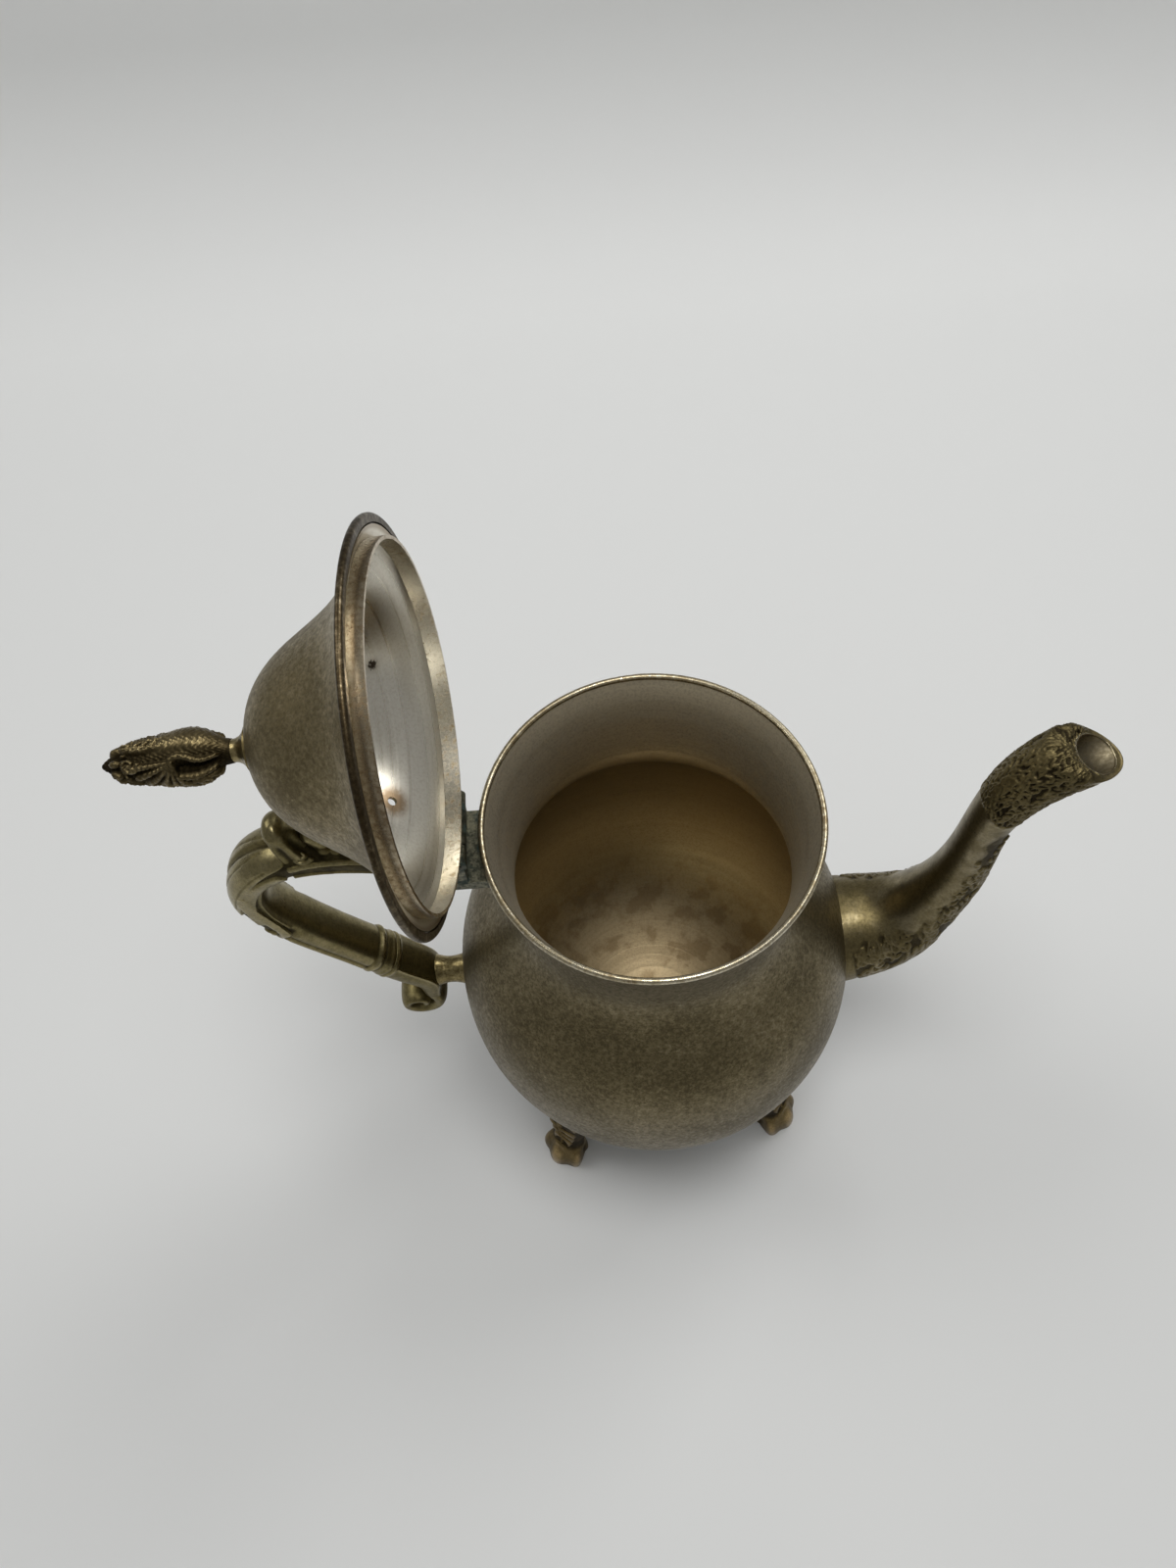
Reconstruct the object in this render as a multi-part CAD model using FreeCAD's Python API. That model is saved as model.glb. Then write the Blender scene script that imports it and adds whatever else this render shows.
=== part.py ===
"""Silver-plated teapot on four leaf feet, with a hinged bell lid that stands open.

Millimetres, +Z up, +X towards the spout.
The origin is on the table, under the axis of the body.
"""
import FreeCAD
import Part
import math
import os

V = FreeCAD.Vector
Y_AXIS = V(0, 1, 0)
Z_AXIS = V(0, 0, 1)
FULL_TURN = 360.0

# Body: heights above the table, and outer radii
MOUTH_HEIGHT = 168.0
MOUTH_RADIUS = 42.5
WAIST_HEIGHT = 140.5
WAIST_RADIUS = 37.3
SHOULDER_HEIGHT = 114.0
SHOULDER_RADIUS = 49.0
BELLY_HEIGHT = 80.0
BELLY_RADIUS = 57.2
BODY_WALL = 1.1
MOUTH_FLARE = 24.0
SHOULDER_SLOPE = 32.0
BASE_DISC_RADIUS = 24.0
RIM_WIDTH = 1.6
RIM_THICKNESS = 1.2
RIM_OVERHANG = 0.2

# Thickness of a soldered seam between two pieces
SEAM = 0.05

# Strainer pierced in the body behind the spout, and how far its middle row
# lies above the spout's root
STRAINER_HOLE_RADIUS = 1.6
STRAINER_PITCH = 5.0
STRAINER_ROWS = 2
STRAINER_RISE = 2.5

# Spout: rise of its root above the widest girth, wall, and its stations
SPOUT_ROOT_RISE = 8.0
SPOUT_WALL = 1.5
SPOUT_SQUARENESS = 2.0
# Each station is the offset of its centre out from the belly and up from the root,
# the lean of its section from upright and its radius
SPOUT_STATIONS = [
    (-14.0, 0.0, 90.0, 17.0),
    (-1.4, 1.7, 78.0, 15.5),
    (12.0, 6.4, 58.0, 13.5),
    (20.8, 17.6, 31.0, 9.6),
    (25.6, 35.2, 9.0, 7.4),
    (27.6, 59.8, 3.0, 6.0),
    (29.4, 73.5, 9.0, 6.4),
    (33.0, 84.0, 28.0, 7.2),
    (40.3, 93.6, 46.0, 7.8),
    (48.5, 98.8, 66.0, 8.0),
    (56.5, 100.6, 84.0, 8.0),
]
# Slanted cut of the mouth: a point on its rim at the back, and its fall towards the lip
SPOUT_CUT_OUT = 41.0
SPOUT_CUT_RISE = 95.7
SPOUT_CUT_FALL = 18.0
SPOUT_CUT_BLOCK = 60.0

# Lid: its edge stands out beyond the mouth, its cove, dome and vent are set in
# from its edge, and the bezel clears the mouth's rim
LID_OPEN_ANGLE = 95.2
LID_SEAT_GAP = 0.3
LID_OVERHANG = 2.5
LID_RIM_WIDTH = 2.0
LID_RIM_THICKNESS = 1.7
LID_WALL = 1.0
LID_COVE_INSET = 12.6
LID_COVE_HEIGHT = 6.8
LID_COVE_SLOPE = 52.0
LID_DOME_INSET = 23.0
LID_DOME_HEIGHT = 20.8
LID_DOME_SLOPE = 32.0
LID_HEIGHT = 33.8
LID_BRIM_SLOPE = 70.0
BEZEL_CLEARANCE = 0.9
BEZEL_WALL = 0.8
BEZEL_DEPTH = 2.4
VENT_RADIUS = 1.1
VENT_INSET = 17.8
VENT_HEIGHT = 10.9
VENT_TILT = 51.0
VENT_AZIMUTH = -177.0
VENT_DRILL = 12.0

# Finial and what holds it
FINIAL_BASE_RADIUS = 5.8
FINIAL_BASE_HEIGHT = 4.5
FINIAL_BASE_EDGE = 0.2
FINIAL_BASE_SLOPE = 58.0
FINIAL_NECK_RADIUS = 2.5
FINIAL_LENGTH = 28.5
FINIAL_RADIUS = 6.6
FINIAL_WIDEST = 9.0
FINIAL_TIP_RADIUS = 2.6
FINIAL_FLARE = 70.0
FINIAL_TAPER = 20.0
STUD_RADIUS = 1.5
STUD_CLEARANCE = 0.1
STUD_IN_FINIAL = 9.0
STUD_TAIL = 1.5
WASHER_RADIUS = 3.6
WASHER_THICKNESS = 0.6
WASHER_CROWN = 0.35
NUT_HALF_FLATS = 2.75
NUT_HEIGHT = 2.4
HEX_SIDES = 6

# Hinge
HINGE_OUT = 4.9
HINGE_RISE = 0.9
KNUCKLE_RADIUS = 2.3
BARREL_LENGTH = 20.0
LID_KNUCKLE_LENGTH = 9.0
KNUCKLE_GAP = 0.3
PIN_RADIUS = 1.0
PIN_CLEARANCE = 0.05
PIN_OVERHANG = 0.4
STRAP_REACH = 8.3
STRAP_DROP = 1.0
STRAP_TOP = 2.7
LUG_WIDTH = 3.0
BRACKET_DROP = 8.0
BRACKET_THICKNESS = 3.6
STOP_GAP = 0.3
STOP_THICKNESS = 1.6
STOP_WIDTH = 9.0
STOP_RISE = 1.6

# Handle: each station is the offset of its centre, its half depth and its half width.
# The upper stations count out from the mouth's edge and up from the mouth.
GRIP_UPPER_STATIONS = [
    (6.5, -7.6, 3.9, 7.2),
    (21.5, -5.2, 3.9, 6.6),
    (35.5, -2.2, 4.3, 6.6),
    (48.5, -3.0, 5.0, 7.0),
    (58.0, -10.5, 5.0, 7.0),
    (61.3, -23.0, 4.8, 6.8),
]
# The lower stations count out from the belly and up from the peg. Above the joint with
# the lower scroll they spread with the mouth's height over that joint, here as drawn.
GRIP_SPREAD = 71.6
GRIP_LOWER_STATIONS = [
    (43.0, 52.0, 4.7, 6.7),
    (35.8, 39.0, 4.5, 6.5),
    (26.8, 25.0, 4.4, 6.4),
    (21.2, 16.4, 4.6, 6.6),
]
THUMB_STATIONS = [
    (43.5, -3.0, 4.5, 6.4),
    (46.8, 5.0, 3.4, 5.8),
    (49.0, 11.0, 2.0, 4.6),
]
GRIP_SQUARENESS = 2.6
SECTION_POINTS = 16
TENON_RADIUS = 2.6
TENON_LENGTH = 5.0
TENON_CLEARANCE = 0.1
TENON_LEAD = 1.0

# Lower scroll of the handle and its peg, which is level with the widest girth
PEG_RADIUS = 4.2
PEG_LENGTH = 8.6
SCROLL_STATIONS = [
    (21.2, 16.4, 4.6, 6.6),
    (15.4, 7.4, 4.3, 6.3),
    (10.2, -1.5, 3.9, 5.9),
    (9.6, -9.0, 3.2, 5.6),
]
VOLUTE_OUT = 15.6
VOLUTE_DROP = 12.6
VOLUTE_RADIUS = 6.6
VOLUTE_WIDTH = 12.6

# Feet: the angle between the two of one side, and the turn of the set about the axis.
# The top of a foot lies below the widest girth. Each station is its share of the foot's
# height, its inset from the belly's radius, its half depth and its half width.
FOOT_DROP = 34.0
FOOT_SPREAD = 95.0
FOOT_TURN = 4.9
FOOT_STATIONS = [
    (0.0, 8.7, 6.0, 7.0),
    (0.11, 9.2, 5.0, 6.2),
    (0.26, 10.6, 3.9, 4.8),
    (0.52, 11.2, 4.0, 5.4),
    (0.78, 12.8, 5.0, 7.2),
    (1.0, 17.2, 4.8, 8.2),
]
FOOT_SQUARENESS = 2.2

# Values that follow from the ones above
BODY_TOP = MOUTH_HEIGHT - RIM_THICKNESS - SEAM
BODY_TOP_RADIUS = MOUTH_RADIUS - RIM_OVERHANG
SPOUT_ROOT_HEIGHT = BELLY_HEIGHT + SPOUT_ROOT_RISE
PEG_HEIGHT = BELLY_HEIGHT
FOOT_HEIGHT = BELLY_HEIGHT - FOOT_DROP
BRIM_HEIGHT = MOUTH_HEIGHT + LID_SEAT_GAP
LID_RADIUS = MOUTH_RADIUS + LID_OVERHANG
LID_COVE_RADIUS = LID_RADIUS - LID_COVE_INSET
LID_DOME_RADIUS = LID_RADIUS - LID_DOME_INSET
VENT_REACH = LID_RADIUS - VENT_INSET
BEZEL_RADIUS = MOUTH_RADIUS - RIM_WIDTH - BEZEL_CLEARANCE
LID_EDGE_RADIUS = LID_RADIUS - LID_RIM_WIDTH - SEAM
HINGE_X = -(MOUTH_RADIUS + HINGE_OUT)
HINGE_Z = MOUTH_HEIGHT + HINGE_RISE
HINGE_POINT = V(HINGE_X, 0, HINGE_Z)
BRACKET_TOP = MOUTH_HEIGHT - BRACKET_DROP
STRAP_Z = HINGE_Z + STRAP_TOP
STOP_FACE = HINGE_X - STRAP_TOP - STOP_GAP
BRACKET_BACK = STOP_FACE - STOP_THICKNESS
LID_APEX = BRIM_HEIGHT + LID_HEIGHT
FINIAL_SEAT = LID_APEX + FINIAL_BASE_HEIGHT


def slope_vector(degrees, outward):
    """Unit tangent in the XZ plane, degrees away from straight up."""
    angle = math.radians(degrees)
    return V(math.sin(angle) * outward, 0, math.cos(angle))


def smooth_edge(points, tangents):
    """Curve through the points with a set direction at each of them."""
    curve = Part.BSplineCurve()
    curve.interpolate(Points=points, Tangents=tangents, TangentFlags=[True] * len(points))
    return curve.toShape()


def line(start, end):
    return Part.LineSegment(start, end).toShape()


def arc(start, middle, end):
    return Part.Arc(start, middle, end).toShape()


def spin(edges):
    """Solid made by turning a closed outline in the XZ plane about the Z axis."""
    face = Part.Face(Part.Wire(edges))
    return face.revolve(V(0, 0, 0), Z_AXIS, FULL_TURN)


def ring(inner, outer, bottom, top):
    """Plain ring about the Z axis."""
    height = top - bottom
    base = V(0, 0, bottom)
    return Part.makeCylinder(outer, height, base).cut(Part.makeCylinder(inner, height, base))


def block(low, high):
    """Box between two corners."""
    size = high - low
    return Part.makeBox(size.x, size.y, size.z, low)


def rounded_section(half_depth, half_width, squareness):
    """Closed curve in the XY plane, depth along X and width along Y."""
    points = []
    power = 2.0 / squareness
    for index in range(SECTION_POINTS):
        angle = 2.0 * math.pi * index / SECTION_POINTS
        cosine = math.cos(angle)
        sine = math.sin(angle)
        x = half_depth * math.copysign(abs(cosine) ** power, cosine)
        y = half_width * math.copysign(abs(sine) ** power, sine)
        points.append(V(x, y, 0))
    curve = Part.BSplineCurve()
    curve.interpolate(Points=points, PeriodicFlag=True)
    return Part.Wire(curve.toShape())


def set_section(wire, centre, lean):
    """Tip a section by lean degrees from level about Y, then move it to its centre."""
    wire.Placement = FreeCAD.Placement(centre, FreeCAD.Rotation(Y_AXIS, lean))
    return wire


def tapered_bar(stations, squareness):
    """Bar lofted along a path in the XZ plane, with its sections square to the path."""
    wires = []
    last = len(stations) - 1
    for index, (x, z, half_depth, half_width) in enumerate(stations):
        before = stations[max(index - 1, 0)]
        after = stations[min(index + 1, last)]
        lean = math.degrees(math.atan2(after[0] - before[0], after[1] - before[1]))
        section = rounded_section(half_depth, half_width, squareness)
        wires.append(set_section(section, V(x, 0, z), lean))
    return Part.makeLoft(wires, True)


def from_mouth(stations):
    """Stations of the handle's upper part, in the pot's frame."""
    return [(-MOUTH_RADIUS - out, MOUTH_HEIGHT + up, d, w) for out, up, d, w in stations]


def from_peg(stations):
    """Stations of the handle's lower part, in the pot's frame."""
    return [(-BELLY_RADIUS - out, PEG_HEIGHT + up, d, w) for out, up, d, w in stations]


def spread_to_mouth(stations):
    """The grip's lower stations, spread between its joint and the mouth's height."""
    joint = stations[-1][1]
    spread = (MOUTH_HEIGHT - PEG_HEIGHT - joint) / GRIP_SPREAD
    return [(out, joint + (up - joint) * spread, d, w) for out, up, d, w in stations]


def body_curve(inset):
    """Side of the body from the mouth down to the widest girth, set in by inset."""
    points = [
        V(BODY_TOP_RADIUS - inset, 0, BODY_TOP),
        V(WAIST_RADIUS - inset, 0, WAIST_HEIGHT),
        V(SHOULDER_RADIUS - inset, 0, SHOULDER_HEIGHT),
        V(BELLY_RADIUS - inset, 0, BELLY_HEIGHT),
    ]
    tangents = [
        -slope_vector(MOUTH_FLARE, 1),
        V(0, 0, -1),
        -slope_vector(SHOULDER_SLOPE, -1),
        V(0, 0, -1),
    ]
    return smooth_edge(points, tangents)


def bowl_point(inset, reach):
    """Point of the round underside at a distance from the axis."""
    radius = BELLY_RADIUS - inset
    return V(reach, 0, BELLY_HEIGHT - math.sqrt(radius ** 2 - reach ** 2))


def bowl_arc(inset, start, end):
    """Arc of the round underside between two distances from the axis."""
    middle = bowl_point(inset, (start + end) / 2.0)
    return arc(bowl_point(inset, start), middle, bowl_point(inset, end))


def body_envelope():
    """The body as a filled solid, larger all round by one soldered seam."""
    radius = BELLY_RADIUS + SEAM
    edges = [
        body_curve(-SEAM),
        bowl_arc(-SEAM, radius, 0.0),
        line(V(0, 0, BELLY_HEIGHT - radius), V(0, 0, BODY_TOP)),
        line(V(0, 0, BODY_TOP), V(BODY_TOP_RADIUS + SEAM, 0, BODY_TOP)),
    ]
    return spin(edges)


def strainer_holes():
    """Hexagonal field of holes through the belly, inside the spout's root."""
    holes = []
    rise = STRAINER_PITCH * math.cos(math.pi / HEX_SIDES)
    middle = SPOUT_ROOT_HEIGHT + STRAINER_RISE
    length = BELLY_RADIUS
    for row in range(-STRAINER_ROWS, STRAINER_ROWS + 1):
        count = 2 * STRAINER_ROWS + 1 - abs(row)
        for column in range(count):
            y = (column - (count - 1) / 2.0) * STRAINER_PITCH
            start = V(BELLY_RADIUS - length / 2.0, y, middle + row * rise)
            holes.append(Part.makeCylinder(STRAINER_HOLE_RADIUS, length, start, V(1, 0, 0)))
    return Part.Compound(holes)


def pot_body():
    """Spun pear-shaped shell, open at the mouth and at the base disc."""
    outer = BELLY_RADIUS
    inner = BELLY_RADIUS - BODY_WALL
    edges = [
        body_curve(0.0),
        bowl_arc(0.0, outer, BASE_DISC_RADIUS),
        line(bowl_point(0.0, BASE_DISC_RADIUS), bowl_point(BODY_WALL, BASE_DISC_RADIUS)),
        bowl_arc(BODY_WALL, BASE_DISC_RADIUS, inner),
        body_curve(BODY_WALL),
        line(V(BODY_TOP_RADIUS - BODY_WALL, 0, BODY_TOP), V(BODY_TOP_RADIUS, 0, BODY_TOP)),
    ]
    return spin(edges).cut(strainer_holes())


def base_disc():
    """Dished disc let into the bottom of the shell."""
    radius = BASE_DISC_RADIUS - SEAM
    edges = [
        bowl_arc(0.0, 0.0, radius),
        line(bowl_point(0.0, radius), bowl_point(BODY_WALL, radius)),
        bowl_arc(BODY_WALL, radius, 0.0),
        line(bowl_point(BODY_WALL, 0.0), bowl_point(0.0, 0.0)),
    ]
    return spin(edges)


def mouth_rim():
    """Round-topped wire on the edge of the mouth."""
    inner = MOUTH_RADIUS - RIM_WIDTH
    bottom = MOUTH_HEIGHT - RIM_THICKNESS
    crown = MOUTH_HEIGHT - RIM_WIDTH / 2.0
    edges = [
        line(V(inner, 0, bottom), V(MOUTH_RADIUS, 0, bottom)),
        line(V(MOUTH_RADIUS, 0, bottom), V(MOUTH_RADIUS, 0, crown)),
        arc(
            V(MOUTH_RADIUS, 0, crown),
            V(MOUTH_RADIUS - RIM_WIDTH / 2.0, 0, MOUTH_HEIGHT),
            V(inner, 0, crown),
        ),
        line(V(inner, 0, crown), V(inner, 0, bottom)),
    ]
    return spin(edges)


def spout_loft(wall):
    """Swan neck through its round stations, smaller by wall."""
    wires = []
    for out, up, lean, radius in SPOUT_STATIONS:
        section = rounded_section(radius - wall, radius - wall, SPOUT_SQUARENESS)
        centre = V(BELLY_RADIUS + out, 0, SPOUT_ROOT_HEIGHT + up)
        wires.append(set_section(section, centre, lean))
    return Part.makeLoft(wires, True)


def spout(envelope):
    """Hollow spout, fitted to the belly and cut slantwise at the lip."""
    shell = spout_loft(0.0).cut(spout_loft(SPOUT_WALL))
    back = V(BELLY_RADIUS + SPOUT_CUT_OUT, 0, SPOUT_ROOT_HEIGHT + SPOUT_CUT_RISE)
    size = SPOUT_CUT_BLOCK
    corner = V(-size / 2.0, -size / 2.0, 0)
    above = Part.makeBox(size, size, size, corner)
    above.Placement = FreeCAD.Placement(back, FreeCAD.Rotation(Y_AXIS, SPOUT_CUT_FALL))
    return largest(shell.cut(envelope).cut(above))


def largest(shape):
    """The biggest solid of a cut shape."""
    return max(shape.Solids, key=lambda solid: solid.Volume)


def open_lid(shape):
    """Swing a piece of the closed lid back on the hinge to where it stands open."""
    shape.rotate(HINGE_POINT, Y_AXIS, -LID_OPEN_ANGLE)
    return shape


def lid_curve(inset):
    """Side of the lid from its edge up to the top of the dome, set in by inset."""
    tangents = [
        slope_vector(LID_BRIM_SLOPE, -1),
        slope_vector(LID_COVE_SLOPE, -1),
        slope_vector(LID_DOME_SLOPE, -1),
        V(-1, 0, 0),
    ]
    corners = [
        (LID_EDGE_RADIUS, LID_WALL),
        (LID_COVE_RADIUS, LID_COVE_HEIGHT),
        (LID_DOME_RADIUS, LID_DOME_HEIGHT),
        (0.0, LID_HEIGHT),
    ]
    points = []
    for (radius, height), tangent in zip(corners, tangents):
        inward = V(tangent.x, 0, tangent.z).cross(Y_AXIS)
        place = V(radius, 0, BRIM_HEIGHT + height)
        points.append(place + inward * inset)
    return smooth_edge(points, tangents)


def lid_volume(inset):
    """The space under the lid's side as a filled solid, down past the bezel."""
    side = lid_curve(inset)
    start = side.Vertexes[0].Point
    top = side.Vertexes[-1].Point
    bottom = BRIM_HEIGHT - BEZEL_DEPTH
    edges = [
        side,
        line(top, V(0, 0, bottom)),
        line(V(0, 0, bottom), V(start.x, 0, bottom)),
        line(V(start.x, 0, bottom), start),
    ]
    return spin(edges)


def lid_shell():
    """Spun bell-shaped shell with the stud's hole and a vent."""
    outer = lid_curve(0.0)
    inner = lid_curve(LID_WALL)
    edges = [
        outer,
        line(outer.Vertexes[-1].Point, inner.Vertexes[-1].Point),
        inner,
        line(inner.Vertexes[0].Point, outer.Vertexes[0].Point),
    ]
    shell = spin(edges)
    return shell.cut(stud_bar(STUD_CLEARANCE)).cut(vent_drill())


def vent_drill():
    """Drill for the vent, square to the lid's side."""
    slant = slope_vector(VENT_TILT, 1)
    start = V(VENT_REACH, 0, BRIM_HEIGHT + VENT_HEIGHT) - slant * (VENT_DRILL / 2.0)
    drill = Part.makeCylinder(VENT_RADIUS, VENT_DRILL, start, slant)
    drill.rotate(V(0, 0, 0), Z_AXIS, VENT_AZIMUTH)
    return drill


def lid_rim():
    """Half-round wire round the lid's edge."""
    inner = LID_RADIUS - LID_RIM_WIDTH
    half = LID_RIM_THICKNESS / 2.0
    bend = LID_RADIUS - half
    top = BRIM_HEIGHT + LID_RIM_THICKNESS
    edges = [
        line(V(inner, 0, BRIM_HEIGHT), V(bend, 0, BRIM_HEIGHT)),
        arc(V(bend, 0, BRIM_HEIGHT), V(LID_RADIUS, 0, BRIM_HEIGHT + half), V(bend, 0, top)),
        line(V(bend, 0, top), V(inner, 0, top)),
        line(V(inner, 0, top), V(inner, 0, BRIM_HEIGHT)),
    ]
    return spin(edges)


def lid_bezel():
    """Short ring that drops into the mouth."""
    tall = ring(BEZEL_RADIUS - BEZEL_WALL, BEZEL_RADIUS, BRIM_HEIGHT - BEZEL_DEPTH, LID_APEX)
    return tall.common(lid_volume(LID_WALL + SEAM))


def finial_base():
    """Turned collar that flares onto the dome."""
    low = V(FINIAL_BASE_RADIUS, 0, LID_APEX + FINIAL_BASE_EDGE)
    high = V(FINIAL_NECK_RADIUS, 0, FINIAL_SEAT)
    foot = LID_APEX - FINIAL_BASE_HEIGHT
    edges = [
        smooth_edge([low, high], [slope_vector(FINIAL_BASE_SLOPE, -1), Z_AXIS]),
        line(high, V(0, 0, FINIAL_SEAT)),
        line(V(0, 0, FINIAL_SEAT), V(0, 0, foot)),
        line(V(0, 0, foot), V(FINIAL_BASE_RADIUS, 0, foot)),
        line(V(FINIAL_BASE_RADIUS, 0, foot), low),
    ]
    collar = spin(edges).cut(lid_volume(-SEAM))
    return largest(collar.cut(stud_bar(STUD_CLEARANCE)))


def finial():
    """Cast bud, tapped underneath for its stud."""
    seat = FINIAL_SEAT + SEAM
    tip = seat + FINIAL_LENGTH
    points = [
        V(FINIAL_NECK_RADIUS, 0, seat),
        V(FINIAL_RADIUS, 0, seat + FINIAL_WIDEST),
        V(FINIAL_TIP_RADIUS, 0, tip - FINIAL_TIP_RADIUS),
        V(0, 0, tip),
    ]
    tangents = [slope_vector(FINIAL_FLARE, 1), Z_AXIS, slope_vector(FINIAL_TAPER, -1), V(-1, 0, 0)]
    edges = [
        smooth_edge(points, tangents),
        line(V(0, 0, tip), V(0, 0, seat)),
        line(V(0, 0, seat), V(FINIAL_NECK_RADIUS, 0, seat)),
    ]
    return spin(edges).cut(stud_bar(STUD_CLEARANCE))


def washer_top():
    """Height of the washer's upper face, just under the crown of the dome."""
    return LID_APEX - LID_WALL - WASHER_CROWN


def finial_washer():
    top = washer_top()
    return ring(STUD_RADIUS + STUD_CLEARANCE, WASHER_RADIUS, top - WASHER_THICKNESS, top)


def finial_nut():
    """Hexagon nut against the washer."""
    top = washer_top() - WASHER_THICKNESS - SEAM
    bottom = top - NUT_HEIGHT
    corner = NUT_HALF_FLATS / math.cos(math.pi / HEX_SIDES)
    points = []
    for index in range(HEX_SIDES + 1):
        angle = 2.0 * math.pi * index / HEX_SIDES
        points.append(V(corner * math.cos(angle), corner * math.sin(angle), bottom))
    hexagon = Part.Face(Part.makePolygon(points)).extrude(V(0, 0, NUT_HEIGHT))
    return hexagon.cut(stud_bar(STUD_CLEARANCE))


def stud_bar(larger):
    """Round bar from inside the finial down through the nut, larger all round."""
    top = FINIAL_SEAT + SEAM + STUD_IN_FINIAL + larger
    bottom = washer_top() - WASHER_THICKNESS - NUT_HEIGHT - STUD_TAIL - larger
    return Part.makeCylinder(STUD_RADIUS + larger, top - bottom, V(0, 0, bottom))


def along_hinge(radius, start, end):
    """Round bar on the hinge's axis."""
    return Part.makeCylinder(radius, end - start, V(HINGE_X, start, HINGE_Z), Y_AXIS)


def hinge_pin():
    half = BARREL_LENGTH / 2.0 + PIN_OVERHANG
    return along_hinge(PIN_RADIUS, -half, half)


def pin_hole():
    return along_hinge(PIN_RADIUS + PIN_CLEARANCE, -BARREL_LENGTH, BARREL_LENGTH)


def hinge_pot_leaf():
    """The two outer knuckles, each on a lug that stands on the bracket."""
    inside = LID_KNUCKLE_LENGTH / 2.0 + KNUCKLE_GAP
    outside = BARREL_LENGTH / 2.0
    knuckles = []
    for start, end in ((-outside, -inside), (inside, outside)):
        lug = block(
            V(HINGE_X - LUG_WIDTH / 2.0, start, BRACKET_TOP + SEAM),
            V(HINGE_X + LUG_WIDTH / 2.0, end, HINGE_Z),
        )
        knuckle = along_hinge(KNUCKLE_RADIUS, start, end).fuse(lug)
        knuckles.append(knuckle.cut(pin_hole()).removeSplitter())
    return Part.Compound(knuckles)


def hinge_lid_leaf():
    """The middle knuckle, with the strap that laps onto the lid's edge."""
    half = LID_KNUCKLE_LENGTH / 2.0
    strap = block(
        V(HINGE_X, -half, HINGE_Z - STRAP_DROP),
        V(HINGE_X + STRAP_REACH, half, STRAP_Z),
    )
    below = HINGE_Z - LID_HEIGHT
    rim_top = BRIM_HEIGHT + LID_RIM_THICKNESS + SEAM
    rim_space = Part.makeCylinder(LID_RADIUS + SEAM, rim_top - below, V(0, 0, below))
    strap = strap.cut(rim_space).cut(lid_volume(-SEAM))
    leaf = along_hinge(KNUCKLE_RADIUS, -half, half).fuse(strap).cut(pin_hole())
    return largest(leaf)


def hinge_bracket(envelope):
    """Plate soldered to the neck, with a stop behind the hinge for the open lid."""
    half = BARREL_LENGTH / 2.0
    bottom = BRACKET_TOP - BRACKET_THICKNESS
    plate = block(V(BRACKET_BACK, -half, bottom), V(0, half, BRACKET_TOP))
    stop = block(
        V(BRACKET_BACK, -STOP_WIDTH / 2.0, bottom),
        V(STOP_FACE, STOP_WIDTH / 2.0, HINGE_Z + STOP_RISE),
    )
    return largest(plate.fuse(stop).removeSplitter().cut(envelope))


def tenon_axis():
    """Start and direction of the joint between the grip and the lower scroll."""
    outer, inner = from_peg(spread_to_mouth(GRIP_LOWER_STATIONS))[-2:]
    start = V(inner[0], 0, inner[1])
    direction = start - V(outer[0], 0, outer[1])
    return start, direction.normalize()


def handle_grip():
    """C-shaped grip with its thumb rest, butted to the bracket and tenoned below."""
    path = from_mouth(GRIP_UPPER_STATIONS) + from_peg(spread_to_mouth(GRIP_LOWER_STATIONS))
    grip = tapered_bar(path, GRIP_SQUARENESS)
    thumb = tapered_bar(from_mouth(THUMB_STATIONS), GRIP_SQUARENESS)
    start, direction = tenon_axis()
    tenon = Part.makeCylinder(
        TENON_RADIUS, TENON_LENGTH + TENON_LEAD, start - direction * TENON_LEAD, direction
    )
    bracket_space = block(
        V(BRACKET_BACK - SEAM, -BARREL_LENGTH, BRACKET_TOP - BARREL_LENGTH),
        V(HINGE_X, BARREL_LENGTH, HINGE_Z + BARREL_LENGTH),
    )
    return largest(grip.cut(bracket_space).fuse([thumb, tenon]))


def scroll_bar():
    """The lower scroll's bar, from the grip's end down to the volute."""
    return tapered_bar(from_peg(SCROLL_STATIONS), GRIP_SQUARENESS)


def handle_lower_scroll(envelope):
    """Lower end of the handle: socket, bar and volute."""
    start, direction = tenon_axis()
    centre = V(-BELLY_RADIUS - VOLUTE_OUT, -VOLUTE_WIDTH / 2.0, PEG_HEIGHT - VOLUTE_DROP)
    volute = Part.makeCylinder(VOLUTE_RADIUS, VOLUTE_WIDTH, centre, Y_AXIS)
    socket = Part.makeCylinder(
        TENON_RADIUS + TENON_CLEARANCE, TENON_LENGTH + TENON_CLEARANCE, start, direction
    )
    scroll = scroll_bar().fuse(volute)
    scroll.translate(direction * SEAM)
    return largest(scroll.cut(socket).cut(peg_bar(SEAM)).cut(envelope))


def peg_bar(larger):
    """Level round bar from the belly to the lower scroll."""
    length = PEG_LENGTH + BELLY_RADIUS / 2.0 + larger
    start = V(-BELLY_RADIUS / 2.0, 0, PEG_HEIGHT)
    return Part.makeCylinder(PEG_RADIUS + larger, length, start, V(-1, 0, 0))


def handle_peg(envelope):
    return largest(peg_bar(0.0).cut(envelope))


def foot(envelope, azimuth):
    """Cast foot with a flat sole, fitted under the belly."""
    wires = []
    for share, inset, half_depth, half_width in FOOT_STATIONS:
        section = rounded_section(half_depth, half_width, FOOT_SQUARENESS)
        centre = V(BELLY_RADIUS - inset, 0, share * FOOT_HEIGHT)
        wires.append(set_section(section, centre, 0.0))
    leg = Part.makeLoft(wires, True)
    leg.rotate(V(0, 0, 0), Z_AXIS, azimuth)
    return largest(leg.cut(envelope))


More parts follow.
